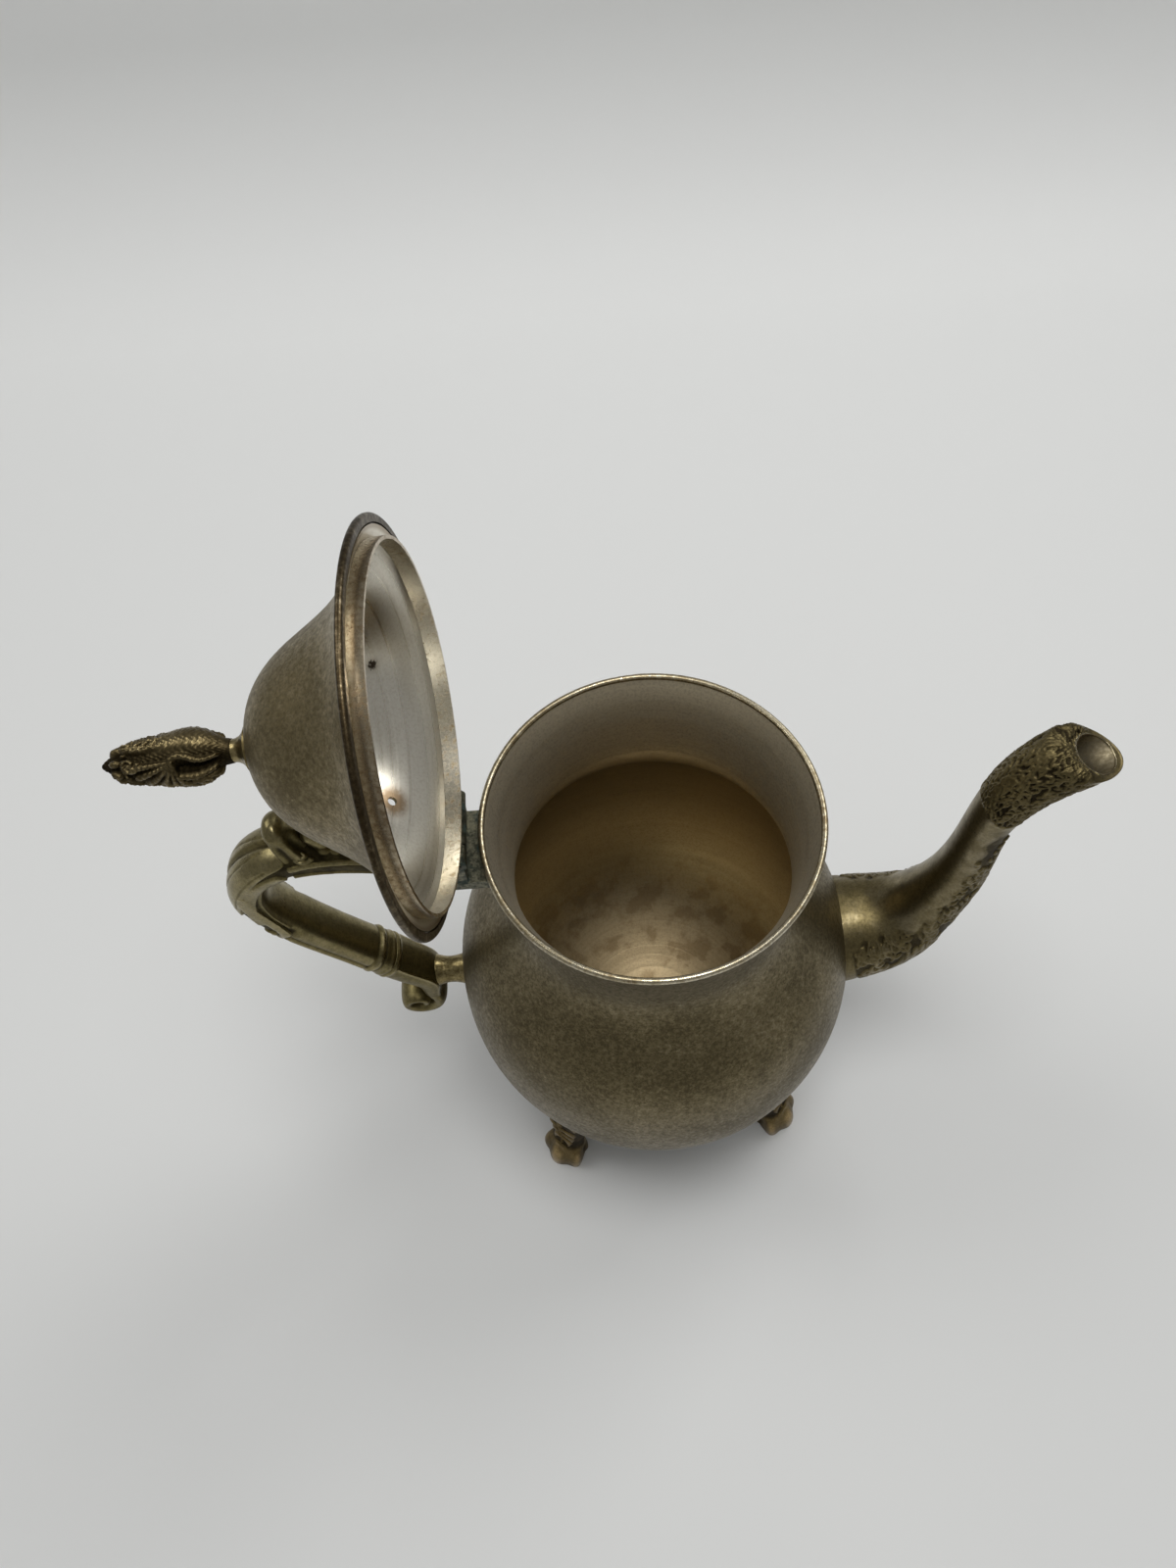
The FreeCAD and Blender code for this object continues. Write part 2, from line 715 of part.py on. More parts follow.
def pieces():
    """Every piece of the teapot by name."""
    envelope = body_envelope()
    half_spread = FOOT_SPREAD / 2.0
    left = FULL_TURN / 4.0 + FOOT_TURN
    right = left - FULL_TURN / 2.0
    return {
        "pot_body": pot_body(),
        "base_disc": base_disc(),
        "mouth_rim": mouth_rim(),
        "spout": spout(envelope),
        "hinge_bracket": hinge_bracket(envelope),
        "hinge_pot_leaf": hinge_pot_leaf(),
        "hinge_pin": hinge_pin(),
        "handle_grip": handle_grip(),
        "handle_lower_scroll": handle_lower_scroll(envelope),
        "handle_peg": handle_peg(envelope),
        "foot_spout_left": foot(envelope, left - half_spread),
        "foot_spout_right": foot(envelope, right + half_spread),
        "foot_handle_left": foot(envelope, left + half_spread),
        "foot_handle_right": foot(envelope, right - half_spread),
        "lid_shell": open_lid(lid_shell()),
        "lid_rim": open_lid(lid_rim()),
        "lid_bezel": open_lid(lid_bezel()),
        "hinge_lid_leaf": open_lid(hinge_lid_leaf()),
        "finial_base": open_lid(finial_base()),
        "finial": open_lid(finial()),
        "finial_stud": open_lid(stud_bar(0.0)),
        "finial_washer": open_lid(finial_washer()),
        "finial_nut": open_lid(finial_nut()),
    }


os.makedirs("parts", exist_ok=True)
for name, shape in pieces().items():
    shape.exportStep(f"parts/{name}.step")
    print(f"{name:20s} valid {shape.isValid()} solids {len(shape.Solids)} volume {shape.Volume:.1f}")
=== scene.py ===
import math

import bpy
import numpy as np
from mathutils import Matrix, Vector


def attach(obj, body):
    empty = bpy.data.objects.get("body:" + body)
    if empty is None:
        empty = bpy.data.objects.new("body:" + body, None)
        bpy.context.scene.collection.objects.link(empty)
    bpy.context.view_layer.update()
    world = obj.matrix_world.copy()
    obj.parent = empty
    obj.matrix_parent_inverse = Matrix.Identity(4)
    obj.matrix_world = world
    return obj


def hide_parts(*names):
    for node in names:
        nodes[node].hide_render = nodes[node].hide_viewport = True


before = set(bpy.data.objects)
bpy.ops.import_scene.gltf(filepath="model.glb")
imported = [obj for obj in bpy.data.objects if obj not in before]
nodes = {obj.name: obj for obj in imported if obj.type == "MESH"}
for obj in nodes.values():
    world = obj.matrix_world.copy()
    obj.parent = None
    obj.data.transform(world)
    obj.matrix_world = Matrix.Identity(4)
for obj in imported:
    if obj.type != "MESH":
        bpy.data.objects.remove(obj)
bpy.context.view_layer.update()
MM = 0.001

# Places shared with the metalwork, in millimetres: the pot stands on the table with its spout towards +X.
BELLY_HEIGHT = 80.0
LID_OPEN = 95.2
BRIM_CENTRE = (-51.10, 0.0, 216.16)
LID_AXIS = (-0.9959, 0.0, -0.0906)
FINIAL_FOOT = 38.0
HALF_WALL = 0.55
# Heights count for less than widths when inner and outer faces of the body are told apart
SQUAT = 0.3

# Mesh tools
LEAST_HALF = 0.05
LEAST_TIP = 0.0025
CAP_TONE = 0.4
MOST_PAIRS = 2000000


def spline(knots, values, at):
    """Natural cubic spline through rows of values at their knots."""
    count = len(knots)
    gap = np.diff(knots)
    system = np.eye(count)
    right = np.zeros_like(values)
    for i in range(1, count - 1):
        system[i, i - 1:i + 2] = gap[i - 1], 2 * (gap[i - 1] + gap[i]), gap[i]
        right[i] = 6 * ((values[i + 1] - values[i]) / gap[i] - (values[i] - values[i - 1]) / gap[i - 1])
    bend = np.linalg.solve(system, right)
    k = np.clip(np.searchsorted(knots, at, side="right") - 1, 0, count - 2)
    before = (at - knots[k])[:, None]
    after = (knots[k + 1] - at)[:, None]
    step = gap[k][:, None]
    cubic = (bend[k] * after ** 3 + bend[k + 1] * before ** 3) / (6 * step)
    from_last = (values[k] / step - bend[k] * step / 6) * after
    from_next = (values[k + 1] / step - bend[k + 1] * step / 6) * before
    return cubic + from_last + from_next


def soft(value, low, high):
    """0 at low and before it, 1 at high and past it, smooth between."""
    t = np.clip((value - low) / (high - low), 0, 1)
    return t * t * (3 - 2 * t)


def zone(value, rise, fall):
    """1 between a soft rise and a soft fall, 0 outside them."""
    return soft(value, *rise) * soft(value, *fall)


def hump(value, centre, reach):
    return np.exp(-((value - centre) / reach) ** 2)


def arm(stations, fine=600):
    """Table of a curved arm: distance along, place in its plane, side direction, half depth and half width.

    Each station gives its place outward and up, its half depth and its half width, in millimetres.
    """
    rows = np.array(stations, float)
    steps = np.linalg.norm(np.diff(rows[:, :2], axis=0), axis=1)
    knots = np.concatenate([[0], np.cumsum(steps)])
    along = np.linspace(0, knots[-1], fine)
    full = spline(knots, rows, along)
    tangent = np.gradient(full[:, :2], along, axis=0)
    tangent /= np.linalg.norm(tangent, axis=1)[:, None]
    side = np.stack([-tangent[:, 1], tangent[:, 0]], 1)
    return {"along": along, "place": full[:, :2], "side": side,
            "depth": np.maximum(full[:, 2], LEAST_HALF), "width": np.maximum(full[:, 3], LEAST_HALF)}


def look_up(table, key, s):
    column = table[key]
    if column.ndim == 1:
        return np.interp(s, table["along"], column)
    return np.stack([np.interp(s, table["along"], column[:, i]) for i in range(column.shape[1])], -1)


def skin(table, s, angle, square=2.0, inset=0.0):
    """Points and outward directions in (outward, across, up) for distances s and angles round the section."""
    place = look_up(table, "place", s)
    side = look_up(table, "side", s)
    depth = look_up(table, "depth", s) - inset
    width = look_up(table, "width", s) - inset
    power = 2.0 / square
    c = np.sign(np.cos(angle)) * np.abs(np.cos(angle)) ** power
    d = np.sign(np.sin(angle)) * np.abs(np.sin(angle)) ** power
    points = np.stack([place[..., 0] + side[..., 0] * depth * c, width * d,
                       place[..., 1] + side[..., 1] * depth * c], -1)
    c2 = np.sign(c) * np.abs(c) ** (square - 1) / depth
    d2 = np.sign(d) * np.abs(d) ** (square - 1) / width
    out = np.stack([side[..., 0] * c2, d2, side[..., 1] * c2], -1)
    out /= np.maximum(np.linalg.norm(out, axis=-1), 1e-9)[..., None]
    return points, out


def trimmed(table, angles, keep, square=2.0, inset=0.0):
    """First and last distance along at which each line of the skin is kept."""
    s = np.repeat(table["along"][:, None], len(angles), 1)
    points, _ = skin(table, s, np.repeat(angles[None], len(s), 0), square, inset)
    value = keep(points, s)
    start = np.zeros(len(angles))
    end = np.full(len(angles), table["along"][-1])
    for j in range(len(angles)):
        good = np.nonzero(value[:, j] > 0)[0]
        if not len(good):
            continue
        for edge, store, near in ((good[0], start, good[0] - 1), (good[-1], end, good[-1] + 1)):
            store[j] = table["along"][edge]
            if 0 <= near < len(s):
                a, b = value[near, j], value[edge, j]
                store[j] += (table["along"][near] - table["along"][edge]) * b / (b - a)
    return start, end


def ring_faces(rings, around):
    """Faces between rings of vertices that follow each other along a piece."""
    faces = []
    for i in range(rings - 1):
        for j in range(around):
            k = (j + 1) % around
            a, b = i * around + j, i * around + k
            faces.append((a + around, b + around, b, a))
    return faces


def cap(verts, faces, ring, flip):
    """Closes a ring of vertices with a fan."""
    verts.append(np.mean([verts[i] for i in ring], 0))
    middle = len(verts) - 1
    for a, b in zip(ring, ring[1:] + ring[:1]):
        faces.append((b, a, middle) if flip else (a, b, middle))


def solid_arm(table, relief, rings, around, square, keep=None, place=None, round_end=0.0):
    """Closed arm: vertices, faces and tones."""
    angles = np.linspace(0, 2 * math.pi, around, endpoint=False)
    if keep is None:
        start, end = np.zeros(around), np.full(around, table["along"][-1])
    else:
        start, end = trimmed(table, angles, keep, square)
    s = start + (end - start) * np.linspace(0, 1, rings)[:, None]
    grid = np.repeat(angles[None], rings, 0)
    points, out = skin(table, s, grid, square)
    height, tone = relief(s, grid)
    points = points + out * height[..., None]
    if round_end:
        near = np.clip(1 - np.abs(s - table["along"][-1]) / round_end, 0, 1)
        shrink = np.sqrt(np.clip(1 - near ** 2, LEAST_TIP, 1))
        axis = look_up(table, "place", s)
        middle = np.stack([axis[..., 0], np.zeros_like(s), axis[..., 1]], -1)
        points = middle + (points - middle) * shrink[..., None]
    verts = list(points.reshape(-1, 3))
    faces = ring_faces(rings, around)
    cap(verts, faces, list(range(around)), False)
    cap(verts, faces, list(range((rings - 1) * around, rings * around)), True)
    if place is not None:
        verts = [place(v) for v in verts]
    return verts, faces, list(tone.ravel()) + [CAP_TONE, CAP_TONE]


def joined(*solids):
    verts, faces, tones = [], [], []
    for v, f, t in solids:
        first = len(verts)
        verts += list(v)
        faces += [tuple(i + first for i in face) for face in f]
        tones += list(t)
    return verts, faces, tones


def piece(name, solid, material, body, replaced, inner=None, inner_faces=()):
    """A smooth casting in metres that rides on a body and replaces a node of the metalwork.

    Its tone, 0 in hollows and 1 on worn tops, is kept as an attribute.
    """
    verts, faces, tones = solid
    mesh = bpy.data.meshes.new(name)
    mesh.from_pydata([tuple(float(c) * MM for c in v) for v in verts], [], faces)
    mesh.polygons.foreach_set("use_smooth", [True] * len(mesh.polygons))
    mesh.attributes.new("tone", "FLOAT", "POINT").data.foreach_set("value", np.array(tones, float))
    made = bpy.data.objects.new(name, mesh)
    bpy.context.scene.collection.objects.link(made)
    mesh.materials.append(material)
    if inner is not None:
        mesh.materials.append(inner)
        index = np.zeros(len(faces), np.int32)
        index[list(inner_faces)] = 1
        mesh.polygons.foreach_set("material_index", index)
    mesh.update()
    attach(made, body)
    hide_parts(replaced)


# Ornament tools: strokes are raised ridges drawn on a flat map of the surface, along and across it
LEAF_STEPS = 26
LOBE_STEPS = 16


def stroke(points, half, top=1.0, flat=1.0):
    """A ridge along points with its half widths; flat over 1 squares off its top like a strap."""
    return np.array(points, float), np.array(half, float), top, flat


def leaf(root, heading, length, spread, lobes=4, bend=0.0, fat=1.0):
    """One acanthus leaf: a midrib, with lobes on both sides that lean and curl forward."""
    t = np.linspace(0, 1, LEAF_STEPS)
    turn = math.radians(heading) + math.radians(bend) * t
    mid = np.array(root) + np.cumsum(np.stack([np.cos(turn), np.sin(turn)], 1), 0) * length / LEAF_STEPS
    strokes = [stroke(mid, fat * (0.75 - 0.5 * t), 0.9)]
    q = np.linspace(0, 1, LOBE_STEPS)
    for i in range(lobes):
        u = (i + 0.35) / lobes
        k = int(u * LEAF_STEPS)
        reach = spread * math.sin(math.pi * (0.22 + 0.7 * u)) ** 0.8
        for hand in (-1, 1):
            angle = turn[k] + hand * (math.radians(78 - 30 * u) - math.radians(62) * q)
            path = mid[k] + np.cumsum(np.stack([np.cos(angle), np.sin(angle)], 1), 0) * reach / LOBE_STEPS
            body = fat * (0.50 + 0.70 * np.sin(math.pi * q ** 0.8)) * (0.6 + 0.06 * spread)
            strokes.append(stroke(path, body, 0.75 + 0.25 * u))
    return strokes


def scroll(centre, radius, start, turns, hand=1, fat=0.9):
    """One C-scroll that winds inwards to a round eye."""
    t = np.linspace(0, 1, int(40 * abs(turns)) + 12)
    angle = math.radians(start) + hand * 2 * math.pi * turns * t
    reach = radius * (1 - 0.86 * t)
    path = np.array(centre) + np.stack([np.cos(angle), np.sin(angle)], 1) * reach[:, None]
    return [stroke(path, fat * (1 - 0.35 * t), 0.9), stroke([path[-1]], fat * 1.15)]


def mirrored(strokes):
    return strokes + [(points * [1, -1], half, top, flat) for points, half, top, flat in strokes]


def foliage(rows, columns, step, size, heading, fat):
    """Small curling leaves set out close together over part of a map."""
    strokes = []
    for i, s in enumerate(np.arange(rows[0], rows[1], step)):
        for j, w in enumerate(np.arange(columns[0], columns[1], step)):
            tilt = heading + 38 * math.sin(1.7 * i + 2.9 * j)
            curl = 55 * math.sin(2.3 * i + 1.1 * j)
            strokes += leaf((s, w + 0.5 * step * (i % 2)), tilt, size, size * 0.5, 3, curl, fat)
    return strokes


def ridges(s, w, strokes):
    """Height 0 to 1 of the strokes at map places s, w."""
    flat = np.stack([s.ravel(), w.ravel()], 1)
    height = np.zeros(len(flat))
    for path, half, top, flat_top in strokes:
        low = path.min(0) - half.max()
        high = path.max(0) + half.max()
        near = np.nonzero(np.all((flat > low) & (flat < high), 1))[0]
        for part in np.array_split(near, len(near) * len(path) // MOST_PAIRS + 1):
            if not len(part):
                continue
            away = np.linalg.norm(flat[part][:, None] - path[None], axis=2) / half[None]
            rise = top * np.minimum(1, flat_top * np.sqrt(np.clip(1 - away.min(1) ** 2, 0, None)))
            height[part] = np.maximum(height[part], rise)
    return height.reshape(s.shape)


# Shader tools
VECTOR, VALUE = "NodeSocketVector", "NodeSocketFloat"


def put(tree, kind, settings=(), **values):
    """A new node. Settings are its options; a value that is a socket is linked and any other is set."""
    made = tree.nodes.new(kind)
    for key, value in dict(settings).items():
        setattr(made, key, value)
    for key, value in values.items():
        place = int(key[1:]) if key[0] == "i" and key[1:].isdigit() else key.replace("_", " ")
        if isinstance(value, bpy.types.NodeSocket):
            tree.links.new(value, made.inputs[place])
        else:
            made.inputs[place].default_value = value
    return made


def ramp(tree, factor, stops):
    made = put(tree, "ShaderNodeValToRGB", Fac=factor)
    band = made.color_ramp
    while len(band.elements) < len(stops):
        band.elements.new(0.5)
    for element, (place, colour) in zip(band.elements, stops):
        element.position = place
        element.color = (*colour, 1)
    return made.outputs["Color"]


def blend(tree, factor, a, b):
    """Colour a where factor is 0 and b where it is 1."""
    a, b = (value if isinstance(value, bpy.types.NodeSocket) else (*value, 1) for value in (a, b))
    return put(tree, "ShaderNodeMix", {"data_type": "RGBA"}, i0=factor, i6=a, i7=b).outputs[2]


def pick(tree, factor, a, b):
    """Value a where factor is 0 and b where it is 1."""
    return put(tree, "ShaderNodeMix", {"data_type": "FLOAT"}, i0=factor, i2=a, i3=b).outputs[0]


def span(tree, value, low, high, to_low=0.0, to_high=1.0):
    return put(tree, "ShaderNodeMapRange", {"interpolation_type": "SMOOTHSTEP"}, Value=value,
               From_Min=low, From_Max=high, To_Min=to_low, To_Max=to_high).outputs["Result"]


def math_node(tree, operation, a, b):
    return put(tree, "ShaderNodeMath", {"operation": operation}, i0=a, i1=b).outputs["Value"]


def plus(tree, a, b):
    return math_node(tree, "ADD", a, b)


def times(tree, a, b):
    return math_node(tree, "MULTIPLY", a, b)


def vector_node(tree, operation, a, b=(0, 0, 0), result="Vector"):
    return put(tree, "ShaderNodeVectorMath", {"operation": operation}, i0=a, i1=b).outputs[result]


def group(name, inputs, outputs):
    tree = bpy.data.node_groups.new(name, "ShaderNodeTree")
    for label, kind in inputs:
        tree.interface.new_socket(label, in_out="INPUT", socket_type=kind)
    for label, kind in outputs:
        tree.interface.new_socket(label, in_out="OUTPUT", socket_type=kind)
    return tree, tree.nodes.new("NodeGroupInput").outputs, tree.nodes.new("NodeGroupOutput").inputs


def use(tree, shared, **values):
    return put(tree, "ShaderNodeGroup", {"node_tree": shared}, **values).outputs


def noise(tree, where, scale, detail, rough):
    return put(tree, "ShaderNodeTexNoise", Vector=where, Scale=scale, Detail=detail,
               Roughness=rough).outputs["Fac"]


# Cloudy tarnish with fine specks, for all plate and brass
CLOUD_SCALE, MOTTLE_SCALE, SPECK_SCALE = 42.0, 760.0, 1500.0
CLOUD_SHARE, MOTTLE_SHARE = 0.36, 0.64
plate_tarnish, g_in, g_out = group("plate_tarnish", [("Place", VECTOR)],
                                   [("Cloud", VALUE), ("Specks", VALUE), ("Grain", VALUE)])
broad = noise(plate_tarnish, g_in["Place"], CLOUD_SCALE, 5.0, 0.62)
mottle = noise(plate_tarnish, g_in["Place"], MOTTLE_SCALE, 6.0, 0.78)
fine = noise(plate_tarnish, g_in["Place"], SPECK_SCALE, 3.0, 0.65)
both = plus(plate_tarnish, times(plate_tarnish, broad, CLOUD_SHARE),
            times(plate_tarnish, mottle, MOTTLE_SHARE))
plate_tarnish.links.new(span(plate_tarnish, both, 0.37, 0.63), g_out["Cloud"])
plate_tarnish.links.new(span(plate_tarnish, fine, 0.42, 0.68), g_out["Specks"])
plate_tarnish.links.new(fine, g_out["Grain"])

# Marks left by spinning on a lathe, about the Z axis of Place
SPIN_SCALE = 900.0
spin_marks, g_in, g_out = group("spin_marks", [("Place", VECTOR)],
                                [("Marks", VALUE), ("Radius", VALUE), ("Height", VALUE)])
parts = put(spin_marks, "ShaderNodeSeparateXYZ", Vector=g_in["Place"]).outputs
flat = put(spin_marks, "ShaderNodeCombineXYZ", X=parts["X"], Y=parts["Y"]).outputs["Vector"]
radius = vector_node(spin_marks, "LENGTH", flat, result="Value")
rings = put(spin_marks, "ShaderNodeCombineXYZ", X=radius, Y=parts["Z"]).outputs["Vector"]
spin_marks.links.new(noise(spin_marks, rings, SPIN_SCALE, 3.0, 0.7), g_out["Marks"])
spin_marks.links.new(radius, g_out["Radius"])
spin_marks.links.new(parts["Z"], g_out["Height"])

# 1 on the inner face of a shell, 0 on its outer face
FACE_TURN = 0.0015
inner_face, g_in, g_out = group("inner_face", [("From Middle", VECTOR), ("Normal", VECTOR)],
                                [("Inside", VALUE)])
facing = vector_node(inner_face, "DOT_PRODUCT", g_in["From Middle"], g_in["Normal"], "Value")
inner_face.links.new(span(inner_face, facing, FACE_TURN, -FACE_TURN), g_out["Inside"])

# Dirt in the hollows of a casting and wear on its tops
DIRT_SCALE, PIT_SCALE, DIRT_SHARE = 160.0, 1300.0, 0.5
casting_dirt, g_in, g_out = group("casting_dirt", [("Place", VECTOR), ("Tone", VALUE)],
                                  [("Dirt", VALUE), ("Wear", VALUE), ("Pits", VALUE)])
cloud = noise(casting_dirt, g_in["Place"], DIRT_SCALE, 5.0, 0.65)
pits = noise(casting_dirt, g_in["Place"], PIT_SCALE, 2.0, 0.5)
shifted = plus(casting_dirt, g_in["Tone"], times(casting_dirt, cloud, DIRT_SHARE))
casting_dirt.links.new(span(casting_dirt, shifted, 0.62, 0.22), g_out["Dirt"])
casting_dirt.links.new(span(casting_dirt, shifted, 0.7, 1.1), g_out["Wear"])
casting_dirt.links.new(pits, g_out["Pits"])


# Finishes
def new_material(name):
    made = bpy.data.materials.new(name)
    made.use_nodes = True
    tree = made.node_tree
    shader = tree.nodes["Principled BSDF"]
    shader.inputs["Metallic"].default_value = 1.0
    return made, tree, shader, tree.nodes.new("ShaderNodeTexCoord").outputs


def finish_material(tree, shader, colour, rough, height, bump):
    """Links the finish to the shader; bump is its strength and its depth in metres."""
    tree.links.new(colour, shader.inputs["Base Color"])
    tree.links.new(rough, shader.inputs["Roughness"])
    raised = put(tree, "ShaderNodeBump", Strength=bump[0], Distance=bump[1], Height=height)
    tree.links.new(raised.outputs["Normal"], shader.inputs["Normal"])


def specked(tree, tarnish, amount, colour, tint):
    return blend(tree, times(tree, tarnish["Specks"], amount), colour, tint)


OUTER_TINTS = [(0.0, (0.118, 0.092, 0.045)), (0.45, (0.182, 0.146, 0.075)), (0.8, (0.228, 0.184, 0.099)),
               (1.0, (0.305, 0.250, 0.148))]
OUTER_SPECKS = (0.080, 0.064, 0.034)
SPUN_BUMP = (0.2, 0.00003)


def outside_plate(tree, place, shade):
    """Colour, roughness and tarnish of the outer face of a spun shell."""
    tarnish = use(tree, plate_tarnish, Place=place)
    colour = ramp(tree, tarnish["Cloud"], [(at, [c * shade for c in tint]) for at, tint in OUTER_TINTS])
    colour = specked(tree, tarnish, 0.55, colour, [c * shade for c in OUTER_SPECKS])
    return colour, span(tree, tarnish["Cloud"], 0.0, 1.0, 0.52, 0.36), tarnish


# Pot body: tarnished outside, darkened low down by painted shade, with a grey spun neck and brown-stained
# belly inside.
# Heights are in metres.
BODY_SHADE = 0.82
# Painted shade low on the belly: heights from which it starts and where it is strongest, its strength, and
# its colour
LOW_PAINTED_SHADE, LOW_SHADE_TINT = (0.086, 0.038, 0.0, 0.80), (0.064, 0.049, 0.024)
FILM_HEIGHTS, FILM_WANDER = (0.030, 0.175), 0.008
FILM_TINTS = [(0.0, (0.52, 0.41, 0.245)), (0.06, (0.45, 0.385, 0.255)), (0.64, (0.425, 0.370, 0.245)),
              (0.79, (0.50, 0.440, 0.310)), (0.90, (0.72, 0.655, 0.515)), (1.0, (0.80, 0.74, 0.60))]
BLOTCH_SCALE, BLOTCH_HEIGHTS, BLOTCH_TINT = 120.0, (0.060, 0.034), (0.25, 0.17, 0.08)
DULL_FLOOR, DULL_NECK = (0.055, 0.032, 0.0, 0.25), (0.130, 0.145, 0.0, 0.16)
body_plate, tree, shader, spot = new_material("body_plate")
colour, rough, tarnish = outside_plate(tree, spot["Object"], BODY_SHADE)
marks = use(tree, spin_marks, Place=spot["Object"])
# Painted shade: the outside is darkened towards the bottom of the belly
colour = blend(tree, span(tree, marks["Height"], *LOW_PAINTED_SHADE), colour, LOW_SHADE_TINT)
middle = vector_node(tree, "SUBTRACT", spot["Object"], (0, 0, BELLY_HEIGHT * MM))
squat = vector_node(tree, "MULTIPLY", middle, (1, 1, SQUAT))
inside = use(tree, inner_face, From_Middle=squat, Normal=spot["Normal"])["Inside"]
depth = plus(tree, marks["Height"], times(tree, tarnish["Cloud"], FILM_WANDER))
film = ramp(tree, span(tree, depth, *FILM_HEIGHTS), FILM_TINTS)
blotches = span(tree, noise(tree, spot["Object"], BLOTCH_SCALE, 5.0, 0.6), 0.46, 0.62, 0.0, 0.6)
film = blend(tree, times(tree, blotches, span(tree, marks["Height"], *BLOTCH_HEIGHTS)), film, BLOTCH_TINT)
film = blend(tree, span(tree, marks["Marks"], 0.35, 0.7, 0.0, 0.12), film, (0.24, 0.18, 0.09))
film = specked(tree, tarnish, 0.22, film, (0.14, 0.10, 0.05))
dull = plus(tree, span(tree, marks["Height"], *DULL_FLOOR), span(tree, marks["Height"], *DULL_NECK))
inner_rough = plus(tree, span(tree, marks["Marks"], 0.3, 0.7, 0.28, 0.36), dull)
finish_material(tree, shader, blend(tree, inside, colour, film), pick(tree, inside, rough, inner_rough),
                pick(tree, inside, tarnish["Grain"], marks["Marks"]), SPUN_BUMP)

# Lid: tarnished outside, bright spun silver inside with brown stain about the vent and on the flange
LID_SHADE = 1.15
BELOW_BRIM = 20.0
SILVER_TINTS = [(0.25, (0.70, 0.66, 0.56)), (0.5, (0.77, 0.73, 0.63)), (0.75, (0.82, 0.78, 0.68))]
FLANGE, FLANGE_TINT = (0.0412, 0.0422, 0.0, 0.75), (0.30, 0.225, 0.135)
STAIN_WANDER = 0.003
# Stains: degrees round the lid, reach and height in millimetres, outer and inner radius in metres,
# strength and tint
STAINS = ((-177.0, 27.2, 10.9, 0.0069, 0.0034, 0.85, (0.20, 0.112, 0.036)),
          (112.0, 26.5, 11.0, 0.0046, 0.0016, 0.5, (0.24, 0.16, 0.08)),
          (112.0, 26.5, 11.0, 0.0029, 0.0023, 0.96, (0.030, 0.021, 0.012)))
lid_plate, tree, shader, spot = new_material("lid_plate")
colour, rough, tarnish = outside_plate(tree, spot["Object"], LID_SHADE)
centred = vector_node(tree, "SUBTRACT", spot["Object"], [c * MM for c in BRIM_CENTRE])
upright = put(tree, "ShaderNodeVectorRotate", {"rotation_type": "Y_AXIS"}, Vector=centred,
              Angle=math.radians(LID_OPEN)).outputs["Vector"]
marks = use(tree, spin_marks, Place=upright)
below = [(c - BELOW_BRIM * a) * MM for c, a in zip(BRIM_CENTRE, LID_AXIS)]
middle = vector_node(tree, "SUBTRACT", spot["Object"], below)
inside = use(tree, inner_face, From_Middle=middle, Normal=spot["Normal"])["Inside"]
silver = specked(tree, tarnish, 0.2, ramp(tree, marks["Marks"], SILVER_TINTS), (0.35, 0.27, 0.16))
for azimuth, reach, height, far, near, strength, tint in STAINS:
    turn = math.radians(azimuth)
    mark = (reach * MM * math.cos(turn), reach * MM * math.sin(turn), height * MM)
    away = vector_node(tree, "DISTANCE", upright, mark, "Value")
    away = plus(tree, away, times(tree, tarnish["Grain"], STAIN_WANDER))
    silver = blend(tree, span(tree, away, far, near, 0.0, strength), silver, tint)
silver = blend(tree, span(tree, marks["Radius"], *FLANGE), silver, FLANGE_TINT)
inner_rough = span(tree, marks["Marks"], 0.3, 0.7, 0.26, 0.34)
finish_material(tree, shader, blend(tree, inside, colour, silver), pick(tree, inside, rough, inner_rough),
                pick(tree, inside, tarnish["Grain"], marks["Marks"]), SPUN_BUMP)

# Bezel: bright plate inside, rubbed to brown on its outer wall
BEZEL_TINTS = [(0.0, (0.44, 0.34, 0.21)), (0.16, (0.64, 0.57, 0.44)), (0.4, (0.76, 0.72, 0.62)),
               (1.0, (0.82, 0.79, 0.70))]
RUBBED_TINTS = [(0.0, (0.26, 0.19, 0.11)), (0.5, (0.45, 0.37, 0.25)), (1.0, (0.62, 0.54, 0.40))]
bezel_plate, tree, shader, spot = new_material("bezel_plate")
tarnish = use(tree, plate_tarnish, Place=spot["Object"])
centred = vector_node(tree, "SUBTRACT", spot["Object"], [c * MM for c in BRIM_CENTRE])
inside = use(tree, inner_face, From_Middle=centred, Normal=spot["Normal"])["Inside"]
rubbed = ramp(tree, tarnish["Cloud"], RUBBED_TINTS)
colour = blend(tree, inside, rubbed, ramp(tree, tarnish["Cloud"], BEZEL_TINTS))
colour = specked(tree, tarnish, 0.16, colour, (0.20, 0.12, 0.05))
finish_material(tree, shader, colour, span(tree, tarnish["Cloud"], 0.0, 0.6, 0.34, 0.22), tarnish["Grain"],
                (0.15, 0.00005))


def even_plate(name, tints, rough, bump, specks=0.0, speck_tint=(0.0, 0.0, 0.0)):
    """One finish all over: tints and roughness from the thickest tarnish to the thinnest."""
    made, tree, shader, spot = new_material(name)
    tarnish = use(tree, plate_tarnish, Place=spot["Object"])
    colour = ramp(tree, tarnish["Cloud"], tints)
    if specks:
        colour = specked(tree, tarnish, specks, colour, speck_tint)
    finish_material(tree, shader, colour, span(tree, tarnish["Cloud"], 0.0, 1.0, *rough),
                    tarnish["Grain"], bump)
    return made


# Mouth rim: rubbed plate with brown left beside the solder
rim_plate = even_plate(
    "rim_plate", [(0.0, (0.24, 0.18, 0.10)), (0.35, (0.40, 0.34, 0.22)), (0.75, (0.56, 0.50, 0.36)),
                  (1.0, (0.66, 0.60, 0.46))],
    rough=(0.40, 0.26), bump=(0.2, 0.0001), specks=0.3, speck_tint=(0.16, 0.11, 0.06))
